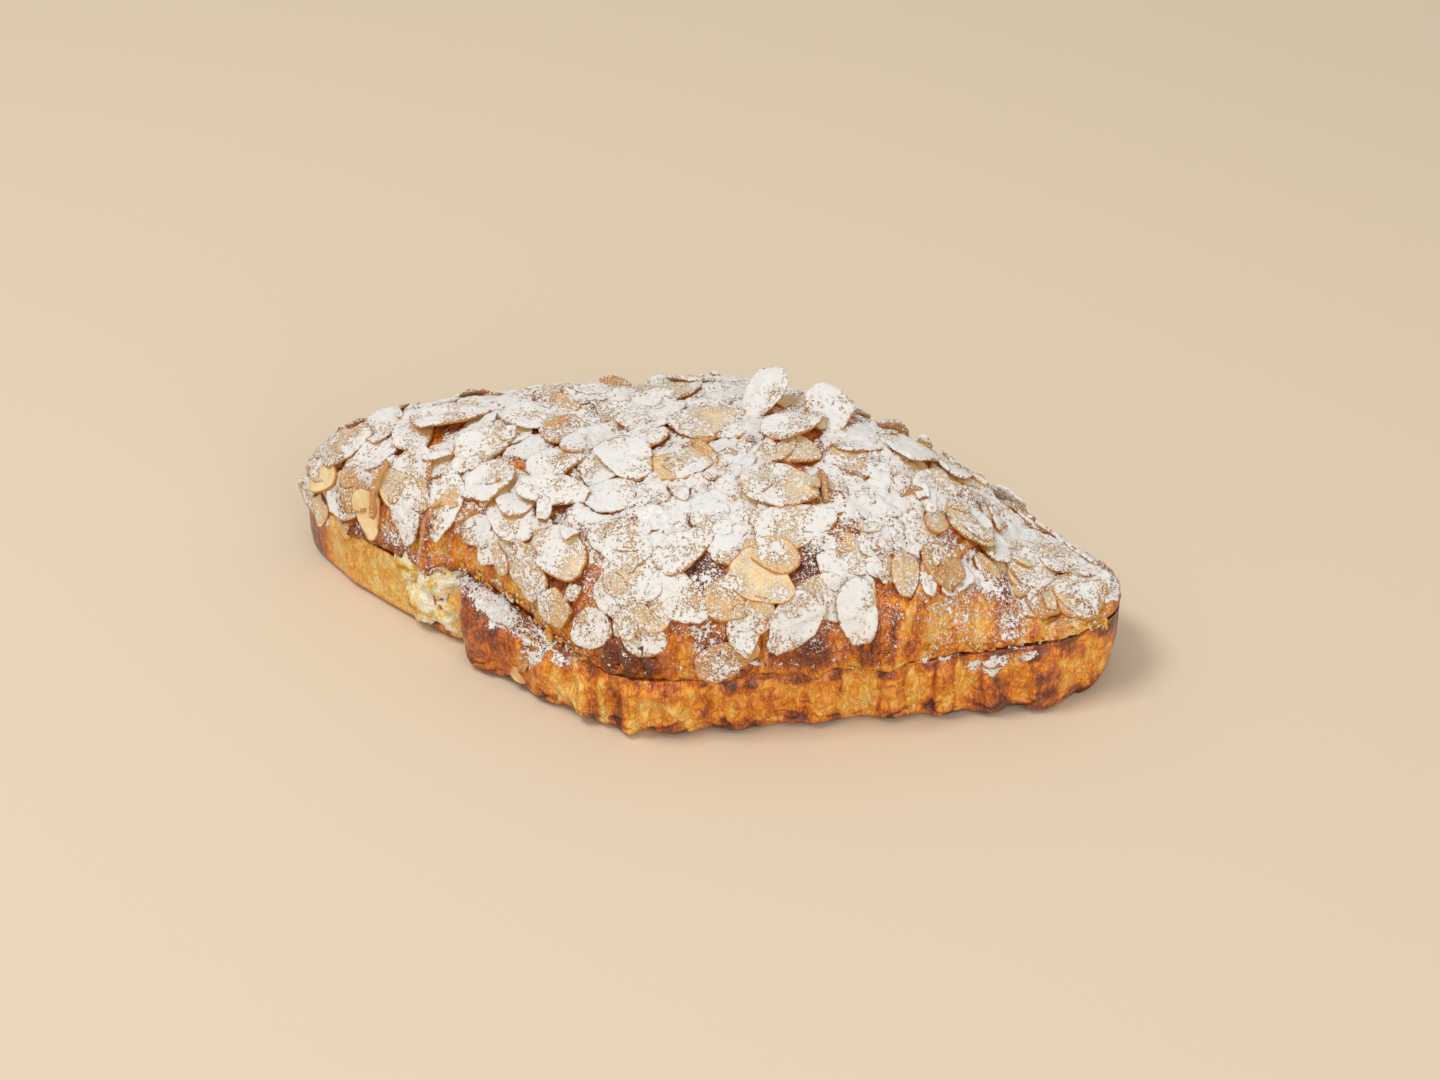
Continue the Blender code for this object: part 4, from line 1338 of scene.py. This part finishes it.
def rest_flake(flake, sink, carries):
    """Lower a flake until it rests: its place, its three directions and its lean."""
    station, angle, spin, length, width, kept, standing, _ = flake
    here, lengthwise, breadthwise, outward = flake_frame(station, angle, spin)
    corners = flake_corners(length * MM, width * MM, kept)
    feet = []
    for corner in corners + [corner * 0.5 for corner in corners] + [Vector((0, 0))]:
        point = here + lengthwise * corner.x + breadthwise * corner.y
        on_lid = lid_support.height(point, outward)
        on_base = base_support.height(point, outward)
        if on_base is not None:
            on_base += sink + 2 * FIT_GAP
        heights = [height for height in (on_lid, on_base) if height is not None]
        if heights:
            feet.append((corner.x, corner.y, max(heights)))
    rows = np.array([(1.0, x, y) for x, y, _ in feet])
    heights = np.array([height for _, _, height in feet])
    lean = np.linalg.lstsq(rows, heights, rcond=None)[0][1:]
    lean = np.clip(lean, -STEEPEST_LEAN, STEEPEST_LEAN)
    if standing is not None:
        lean[0] = standing
    rest = float(np.max(heights - rows[:, 1:] @ lean)) - sink
    upper = []
    for corner in corners:
        height = rest + lean[0] * corner.x + lean[1] * corner.y + FLAKE_THICKNESS
        upper.append(here + lengthwise * corner.x + breadthwise * corner.y + outward * height)
    if carries:
        lid_support.add(upper)
    return here, lengthwise, breadthwise, outward, lean, rest


print("the crown faces", [round(value, 2) for value in crust_frame(0.0, math.pi / 2)[3]])

# %% [markdown]
# ## The shape of one flake
# A slice of almond is a thin oval with one pointed end, often chipped or snapped straight across. It could
# be cut from a curve and thickened, but a flattened ball is closed and has a soft rim from the start. The
# points of one ball are pulled into a new outline for each flake.

# %% The shape of one flake
FACE_SHARE = 0.78
FACE_REACH = 0.93
OVAL_TAPER = 0.26


def ball_stamp(segments, rings):
    ball = bmesh.new()
    bmesh.ops.create_uvsphere(ball, u_segments=segments, v_segments=rings, radius=1.0)
    return Stamp(ball)


WHOLE_STAMP = ball_stamp(40, 18)
PIECE_STAMP = ball_stamp(22, 12)
print("points of a whole flake:", len(WHOLE_STAMP.points))


# %% Pull a ball into a flake
def flattened(ball_x, ball_y, ball_z):
    """Where a point of the ball goes on a disc with a rounded rim: how far out, and how high from -1 to 1."""
    swing = math.atan2(math.hypot(ball_x, ball_y), abs(ball_z)) / (math.pi / 2)
    if swing < FACE_SHARE:
        return FACE_REACH * swing / FACE_SHARE, math.copysign(1, ball_z)
    round_rim = (swing - FACE_SHARE) / (1 - FACE_SHARE) * math.pi / 2
    return FACE_REACH + (1 - FACE_REACH) * math.sin(round_rim), math.copysign(math.cos(round_rim), ball_z)


def flake_points(flake, resting, stamp, draw):
    """One sliced almond: a flattened ball pulled into a pointed oval, chipped, bent and set down."""
    length, width = flake.length * MM, flake.width * MM
    here, lengthwise, breadthwise, outward, lean, rest = resting
    seed = Vector((draw.uniform(0, 99), draw.uniform(0, 99), draw.uniform(0, 99)))
    bend = draw.uniform(-0.8, 0.6) * MM
    twist = draw.uniform(-0.7, 0.7) * MM
    thick = min(draw.uniform(0.6, 0.85) * FLAKE_THICKNESS, 0.13 * length)
    heaped = min(1.0, flake.sugar)
    snaps = [(draw.uniform(0, math.tau), draw.uniform(0.72, 1.30)) for _ in range(3)]
    points, rims, local = [], [], []
    for ball_x, ball_y, ball_z in stamp.points:
        turn = math.atan2(ball_y, ball_x)
        spread, up = flattened(ball_x, ball_y, ball_z)
        round_trip = Vector((math.cos(turn), math.sin(turn), 0))
        edge = 1 + 0.13 * noise.noise(seed + round_trip * 1.2) + 0.06 * noise.noise(seed + round_trip * 5)
        edge += 0.12 * max(0.0, math.cos(turn)) ** 8
        crumbly = 1 + 0.05 * noise.noise(seed + round_trip * 9)
        for snap_turn, snap_reach in snaps:
            edge = min(edge, crumbly * snap_reach / max(0.2, math.cos(turn - snap_turn)))
        x = math.cos(turn) * spread * edge
        y = math.sin(turn) * spread * edge * (1 - OVAL_TAPER * math.cos(turn))
        x = min(x, flake.kept + 0.10 * noise.noise(seed + Vector((0, y * 4, 0))))
        lift = bend * (x * x - 0.4) + twist * x * y + 0.25 * MM * noise.noise(seed + Vector((x, y, 0)) * 2.2)
        spot = Vector((x * length / 2, y * width / 2, 0))
        heap = 0.34 * noise.noise(seed + spot / (2.4 * MM)) + 0.26 * noise.noise(seed + spot / (1.1 * MM))
        heap *= (0.5 + 0.5 * up) * heaped * MM
        x *= length / 2
        y *= width / 2
        height = rest + lean[0] * x + lean[1] * y + thick * (0.5 + 0.5 * up) + lift + heap
        points.append(here + lengthwise * x + breadthwise * y + outward * height)
        rims.append(smoothstep(0.88, 0.99, spread))
        local.append((x + seed.x, y + seed.y))
    return np.array(points), np.array(rims), np.array(local)


# %% [markdown]
# ## Pieces between the flakes
# Between the whole flakes lie broken ones. Some were pressed into the crust before it was baked, and others
# lie loose on top. They share a coarser ball, because they are small and there are many of them.

# %% Pieces and loose bits
PIECE_COUNT = 210
PIECE_LENGTH, PIECE_WIDTH = 14, 9
PIECE_DEPTH = 0.3 * MM
BIT_COUNT = 44
BIT_SINK = 0.5 * MM
BACK_SINK = 0.35 * MM


def sunken_pieces(draw):
    """Pieces that are half baked into the crust and show between the others."""
    for _ in range(PIECE_COUNT):
        station = draw.uniform(-0.94, 0.94)
        angle = draw.uniform(math.radians(10), fringe(station) - math.radians(3))
        kept = draw.choice((1.0, 0.5, 0.2, -0.1))
        size = draw.uniform(0.5, 0.95)
        if bare_spot(lid_point(station, angle))[0] > 0:
            continue
        yield Flake(station, math.degrees(angle), draw.uniform(0, 360), size * PIECE_LENGTH,
                    size * PIECE_WIDTH, kept, None, draw.uniform(0.5, 1.1))


def loose_bits(draw):
    """Broken tips and edges that lie on top, more of them at the right."""
    for _ in range(BIT_COUNT):
        station = draw.triangular(-0.92, 0.94, 0.6)
        angle = draw.uniform(math.radians(14), fringe(station))
        length = draw.uniform(4.0, 8.0)
        if bare_spot(lid_point(station, angle))[0] > 0:
            continue
        yield Flake(station, math.degrees(angle), draw.uniform(0, 360), length,
                    length * draw.uniform(0.3, 0.55), draw.choice((1.0, 0.4, 0.1)), None,
                    draw.uniform(0.8, 1.25))


print("up to", PIECE_COUNT, "pieces and", BIT_COUNT, "loose bits")

# %% Collect the flakes of one mesh
BEHIND_CROWN = 84
MOST_DUSTING = 1.1


def toastedness(flake, draw):
    """How toasted a flake is: bare ones are pale at the left end and golden elsewhere."""
    if flake.sugar < 0.35 and flake.station < -0.5:
        return draw.uniform(0.0, 0.3)
    return draw.uniform(0.15, 0.65) + (0.4 if flake.sugar < 0.65 else 0.0)


class Layers:
    """Collects the flakes of one mesh with the values that its material reads."""

    def __init__(self, stamp, sink):
        self.stamp, self.sink, self.placed = stamp, sink, []
        self.layers = {name: [] for name in ("rim", "toast", "dusting", "cling", "lengthwise", "breadthwise")}

    def lay(self, flake, draw, sink=None, carries=True):
        """Rest a flake on what lies there already."""
        sink = self.sink if sink is None else sink
        if flake.angle < BEHIND_CROWN and flake.standing is None:
            sink += BACK_SINK
        self.put(flake, rest_flake(flake, sink, carries), draw)

    def put(self, flake, resting, draw):
        """Add a flake at a known place, with how toasted it is and how sugar clings to its sides."""
        points, rim, local = flake_points(flake, resting, self.stamp, draw)
        toast = toastedness(flake, draw)
        cling = 0.0 if flake.sugar < 0.6 else draw.choice((0.0, 0.5, 1.0))
        if flake.angle < BEHIND_CROWN:
            cling = 1.0
        dusting = min(MOST_DUSTING, flake.sugar) * (1 - (0.35 - 0.35 * cling) * rim)
        self.placed.append(points)
        for name, value in zip(self.layers, (rim, toast, dusting, cling, local[:, 0], local[:, 1])):
            self.layers[name].append(value)

    def joined(self, name):
        return self.stamp.joined(name, self.placed, ALMOND, **self.layers)


whole, broken = Layers(WHOLE_STAMP, FLAKE_SINK), Layers(PIECE_STAMP, BIT_SINK)
print("layers:", ", ".join(whole.layers))

# %% [markdown]
# ## Slivers on edge, and bits on the side
# A few slivers landed on their edge, and a few bits stuck to the side when the pastry was filled. Lowering
# them on rays can't find such places, so each of them is set down one by one.

# %% Slivers on edge, and bits stuck to the side
# Slivers that stand on their edge: station, angle, spin, length and width in mm
SLIVER_SUGARS = (0.5, 0.6, 0.64)
SLIVERS = (
    (-0.715, 140, 84, 12, 4.5),
    (-0.60, 118, 60, 9, 4),
    (-0.36, 76, 20, 8, 4),
    (0.05, 96, 35, 8, 4),
    (0.33, 104, 70, 9, 4),
    (0.52, 92, -30, 8, 4),
    (0.70, 104, 20, 7, 3.5),
    (0.93, 128, 62, 8, 3.5),
    (-0.30, 50, 30, 9, 4),
    (0.40, 48, 120, 9, 4),
)
# Almonds on the side of the bottom half: x, y and z in mm, slope, length, width and how much sugar lies there
SIDE_BITS = (
    (-28.4, -35.2, 6.4, -0.9, 4.4, 2.2, 0.05),
    (-24.6, -36.6, 3.6, -0.35, 5.4, 3.4, 0.05),
    (-23.2, -38.0, 6.6, 0.9, 3.6, 1.8, 0.05),
    (-19.8, -38.9, 6.0, 0.5, 3.4, 2.0, 0.3),
    (-81.2, -5.6, 14.6, -1.1, 9.0, 5.2, 1.0),
    (-77.6, -8.6, 14.2, -1.5, 8.0, 4.6, 0.9),
    (-70.4, -13.6, 15.0, -1.2, 7.0, 4.0, 0.5),
)


def on_edge(sliver):
    """Where a sliver stands: the frame of the crust, turned up about the sliver's long axis."""
    station, angle, spin, _, width = sliver
    here, lengthwise, breadthwise, outward = flake_frame(station, angle, spin)
    up = (outward * 0.94 + breadthwise * 0.34).normalized()
    standing = here + outward * (0.12 * width + 0.5) * MM
    return standing, lengthwise, up, lengthwise.cross(up), (0.0, 0.0), 0.0


def on_side(bit):
    """Where a bit sticks to the side, facing the front left."""
    x, y, z, slope, *_ = bit
    lengthwise = Vector((math.cos(slope), -0.25, math.sin(slope))).normalized()
    outward = Vector((-0.35, -0.9, 0.2)).normalized()
    breadthwise = outward.cross(lengthwise).normalized()
    return Vector((x, y, z)) * MM, lengthwise, breadthwise, lengthwise.cross(breadthwise), (0.0, 0.0), 0.0


print(len(SLIVERS), "slivers and", len(SIDE_BITS), "bits on the side")

# %% [markdown]
# ## Lay the almonds
# The order is the one of a kitchen: sunken pieces first, then the flakes, then the bits on top. Each flake
# becomes a support for those that follow, so the heap grows. The sunken pieces carry nothing.

# %% Lay them one after another
flake_draw = random.Random(SEED + 1)
for piece in sunken_pieces(flake_draw):
    broken.lay(piece, flake_draw, PIECE_DEPTH, carries=False)
for flake in FLAKES:
    whole.lay(flake, flake_draw)
for bit in loose_bits(flake_draw):
    broken.lay(bit, flake_draw)
for sliver in SLIVERS:
    flake = Flake(*sliver, 1.0, None, flake_draw.choice(SLIVER_SUGARS))
    broken.put(flake, on_edge(sliver), flake_draw)
for bit in SIDE_BITS:
    *_, length, width, sugar = bit
    broken.put(Flake(0, 170, 0, length, width, 1.0, None, sugar), on_side(bit), flake_draw)
flakes = whole.joined("almond_flakes")
pieces = broken.joined("almond_pieces")
print("almonds:", len(flakes.data.polygons) + len(pieces.data.polygons), "faces")

# %% [markdown]
# ## Drifts between the flakes
# In the gaps between the flakes the sugar has gathered deeper. A mesh of its own would cut through the
# almonds everywhere, so the dusted crust itself is raised there, and its sugar turns it white.

# %% Drifts between the flakes
DRIFT_DEPTH = 0.9 * MM
DRIFT_DUSTING = (0.55, 0.95)
DRIFT_FACING = (0.1, 0.5)


def read(data, name, count, width):
    """A value of every element, as rows of an array."""
    values = np.empty(count * width, np.float32)
    data.foreach_get(name, values)
    return values.reshape(count, width)


def places_and_normals(mesh):
    count = len(mesh.vertices)
    return read(mesh.vertices, "co", count, 3), read(mesh.vertices, "normal", count, 3)


def layer_values(mesh, name):
    return read(mesh.attributes[name].data, "value", len(mesh.vertices), 1)[:, 0]


def drift(point):
    """How deep the sugar lies between the flakes."""
    depth = 0.55 + 0.9 * bumps(point, 6) + 0.5 * bumps(point, 2.2)
    return DRIFT_DEPTH * max(0.0, depth)


lid_places, lid_normals = places_and_normals(lid.data)
lid_dusting = layer_values(lid.data, "dusting")
in_drift = np.flatnonzero((lid_dusting > DRIFT_DUSTING[0]) & (lid_normals[:, 2] > DRIFT_FACING[0]))
for number in in_drift:
    dusted = smoothstep(*DRIFT_DUSTING, float(lid_dusting[number]))
    share = dusted * smoothstep(*DRIFT_FACING, float(lid_normals[number, 2]))
    lid_places[number] += lid_normals[number] * share * drift(Vector(lid_places[number]))
lid.data.vertices.foreach_set("co", lid_places.ravel())
lid.data.update()
print("points in drifts:", len(in_drift))

# %% [markdown]
# ## Where the sugar settles
# Icing sugar falls through a sieve, nearly straight down. A point catches it if it faces up and nothing hangs
# over it. For each vertex a few rays go up, each leaning a little, and the share that gets away is stored
# as the sugar attribute, times how much dust was sieved over that part of the pastry.

# %% Sugar attribute
SIEVE_SIDEWAYS = -0.16
SIEVE_RISE = 0.94
LEAST_SIEVED = 0.43
SIEVE_LEAN = 0.30
SIEVE_SPREAD = 0.22
RAYS = 5
REACH = 22 * MM
START = 0.4 * MM


def sieved(point):
    """How much sugar was sieved over this part of the pastry."""
    amount = 0.66 + 0.20 * bumps(point, 14) + 0.48 * bumps(point, 5.5)
    return max(LEAST_SIEVED, amount)


def sieve_over(normal):
    """Where the sugar comes from: the sieve went round the pastry, so the back catches it from the back."""
    share = min(1.0, 2 * max(0.0, normal.y))
    return Vector((SIEVE_SIDEWAYS, SIEVE_LEAN * (2 * share - 1), SIEVE_RISE)).normalized()


def settle_sugar(thing, obstacles, draw):
    """Store in each point how much sugar lies on it."""
    mesh = thing.data
    count = len(mesh.vertices)
    places, normals = places_and_normals(mesh)
    dusted = layer_values(mesh, "dusting")
    clinging = layer_values(mesh, "cling") if mesh.attributes.get("cling") else np.zeros(count)
    values = np.zeros(count, np.float32)
    for number in range(count):
        normal = Vector(normals[number])
        sieve = sieve_over(normal)
        facing = smoothstep(-0.15 - 0.7 * float(clinging[number]), 0.6, normal.dot(sieve))
        if facing <= 0.0 or dusted[number] <= 0.0:
            continue
        point = Vector(places[number])
        start = point + normal * START
        clear = 0
        for _ in range(RAYS):
            aim = sieve + Vector((draw.gauss(0, 1), draw.gauss(0, 1), 0)) * SIEVE_SPREAD
            clear += obstacles.ray_cast(start, aim.normalized(), REACH)[0] is None
        values[number] = facing * (clear / RAYS) * dusted[number] * sieved(point)
    mesh.attributes.new("sugar", "FLOAT", "POINT")
    mesh.attributes["sugar"].data.foreach_set("value", values)
    return values


obstacles = joined_tree(lid, base, flakes, pieces)
sugar_draw = random.Random(SEED + 2)
for thing in (lid, base, flakes, pieces):
    amounts = settle_sugar(thing, obstacles, sugar_draw)
    print(thing.name, "mean sugar", round(float(amounts.mean()), 2))

# %% [markdown]
# ## Sugar clumps
# Icing sugar is never even: it gathers in small heaps that catch the light. They are made as many small,
# squashed icospheres in one mesh, more of them where more sugar lies.

# %% Scatter the clumps
CLUMP_COUNT = 3600
CLUMP_SIZE = (0.12 * MM, 0.38 * MM)
CLUMP_SHARES = ((flakes, 0.5), (pieces, 0.2), (lid, 0.2), (base, 0.1))
LEAST_SUGAR = 0.6


def sugared_places(thing, count, draw):
    """Points of a mesh with much sugar, with the normal and the amount there."""
    places, normals = places_and_normals(thing.data)
    amounts = layer_values(thing.data, "sugar")
    candidates = [number for number in range(len(places)) if amounts[number] > LEAST_SUGAR]
    picked = draw.sample(candidates, min(count, len(candidates)))
    return [(Vector(places[number]), Vector(normals[number]), float(amounts[number])) for number in picked]


clump_ball = bmesh.new()
bmesh.ops.create_icosphere(clump_ball, subdivisions=1, radius=1.0)
CLUMP_STAMP = Stamp(clump_ball)
clump_draw = random.Random(SEED + 3)
placed = []
for thing, share in CLUMP_SHARES:
    for place, normal, amount in sugared_places(thing, int(CLUMP_COUNT * share), clump_draw):
        local = CLUMP_STAMP.points * [[clump_draw.uniform(0.7, 1.3)] for _ in CLUMP_STAMP.points]
        local = local * clump_draw.uniform(*CLUMP_SIZE) * min(1.0, amount)
        flatness = clump_draw.uniform(0.4, 0.75)
        local -= np.outer(local @ np.array(normal), normal) * (1 - flatness)
        placed.append(local + np.array(place))
clumps = CLUMP_STAMP.joined("sugar_clumps", placed, SUGAR)
print("clumps:", len(clumps.data.polygons), "faces")

# %% [markdown]
# ## Shards and crumbs of pastry
# A cut croissant sheds. Thin shards of its outermost layer stand off along the seam, and small crumbs hang
# there. Both come from one squashed ball, flat for a shard and round for a crumb.

# %% Where they hang
# Angles near the front rim, twice as often, and near the back rim, in degrees
FRONT_RIM, BACK_RIM = (172, 179.5), (0.5, 8)
SHARD_STAMP = ball_stamp(10, 6)


def hanging_places(count, draw):
    """Places along the rim of the lid, each with the directions along the rim and out of the crust."""
    for _ in range(count):
        station = draw.uniform(-0.97, 0.985)
        angle = math.radians(draw.choice([draw.uniform(*rim) for rim in (FRONT_RIM, FRONT_RIM, BACK_RIM)]))
        here, along, _, _ = crust_frame(station, angle)
        here.z += draw.uniform(-1.6, 0.6) * MM
        outward = Vector((0, math.copysign(1, math.cos(angle)), 0.3)).normalized()
        tone = float(np.interp(station, BARE_STATIONS, BARE_TONES))
        yield here, along, outward, tone


def hanging_shape(here, along, outward, size, draw):
    """A thin curled sheet, or a crumb if the three sizes are alike."""
    tilt = draw.uniform(-1.3, 1.3)
    lengthwise = (along * math.cos(tilt) + Vector((0, 0, 1)) * math.sin(tilt)).normalized()
    breadthwise = (outward.cross(lengthwise) + outward * draw.uniform(-0.5, 0.7)).normalized()
    normal = lengthwise.cross(breadthwise).normalized()
    local = SHARD_STAMP.points * np.array([[draw.uniform(0.75, 1.25)] for _ in SHARD_STAMP.points])
    curl = draw.uniform(0.0, 0.5) * size[1] * local[:, 0] ** 2
    local = local * np.array(size) / 2
    local[:, 2] += curl
    axes = np.array([lengthwise, breadthwise, normal])
    return local @ axes * MM + np.array(here)


print("points of a shard:", len(SHARD_STAMP.points))

# %% Hang them
SHARD_COUNT = 150
CRUMB_COUNT = 420
SHARD_LENGTH, SHARD_WIDTH, SHARD_THICKNESS = (1.2, 3.6), (0.6, 1.6), 0.22
CRUMB_SIZE = (0.25, 0.7)
CRUMB_STRETCH = 1.4
CRUMB_STANDOFF = 0.3

shard_draw = random.Random(SEED + 4)
placed, tones, covers = [], [], []
for here, along, outward, tone in hanging_places(SHARD_COUNT, shard_draw):
    size = (shard_draw.uniform(*SHARD_LENGTH), shard_draw.uniform(*SHARD_WIDTH), SHARD_THICKNESS)
    placed.append(hanging_shape(here, along, outward, size, shard_draw))
    tones.append(tone + shard_draw.uniform(-0.25, 0.15))
    covers.append(shard_draw.choice((0.0, 0.1, 0.5)))
for here, along, outward, tone in hanging_places(CRUMB_COUNT, shard_draw):
    size = shard_draw.uniform(*CRUMB_SIZE)
    sizes = (size * CRUMB_STRETCH, size, size)
    placed.append(hanging_shape(here + outward * CRUMB_STANDOFF * MM, along, outward, sizes, shard_draw))
    tones.append(tone + shard_draw.uniform(-0.35, 0.15))
    covers.append(shard_draw.choice((0.0, 0.2, 0.6)))
shards = SHARD_STAMP.joined("pastry_shards", placed, LID_CRUST, bake_and_shade=tones, sugar=covers)
print("shards and crumbs:", len(shards.data.polygons), "faces")

# %% [markdown]
# ## Join the pieces to the frame
# The lid and both meshes of almonds stand for the upper solid, the bottom half for the lower one, and the two
# pieces of cream for the filling. The clumps and the shards replace nothing. Everything rides on the one body
# of the pastry.

# %% Ride and replace
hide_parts("top_half")
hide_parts("top_half")
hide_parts("top_half")
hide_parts("bottom_half")
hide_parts("almond_cream")
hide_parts("almond_cream")
RIDING = ((lid, "top_half"), (flakes, "top_half"), (pieces, "top_half"), (clumps, "top_half"),
          (shards, "top_half"), (base, "bottom_half"), (cream, "almond_cream"), (cream_lumps, "almond_cream"))
for thing, slot in RIDING:
    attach(thing, "root")
print("pieces on the pastry's body:", len(RIDING))

# %% [markdown]
# ## The floor
# A wide plain square in warm cream lies under the pastry. It catches the soft shadow and throws some warm
# light back at the cut side. It belongs to the picture only and isn't a part of the pastry.

# %% Floor
FLOOR_CREAM = shade("DAC8AF")
FLOOR_ROUGHNESS = 0.8
FLOOR_HALF_SIZE = 4


def floor_material():
    material, _, shader, _ = new_material("pale_floor")
    shader.inputs["Base Color"].default_value = FLOOR_CREAM
    shader.inputs["Roughness"].default_value = FLOOR_ROUGHNESS
    return material


floor_shape = bmesh.new()
bmesh.ops.create_grid(floor_shape, x_segments=1, y_segments=1, size=FLOOR_HALF_SIZE)
floor = finished("floor", floor_shape, floor_material())
print("floor of", 2 * FLOOR_HALF_SIZE, "m")
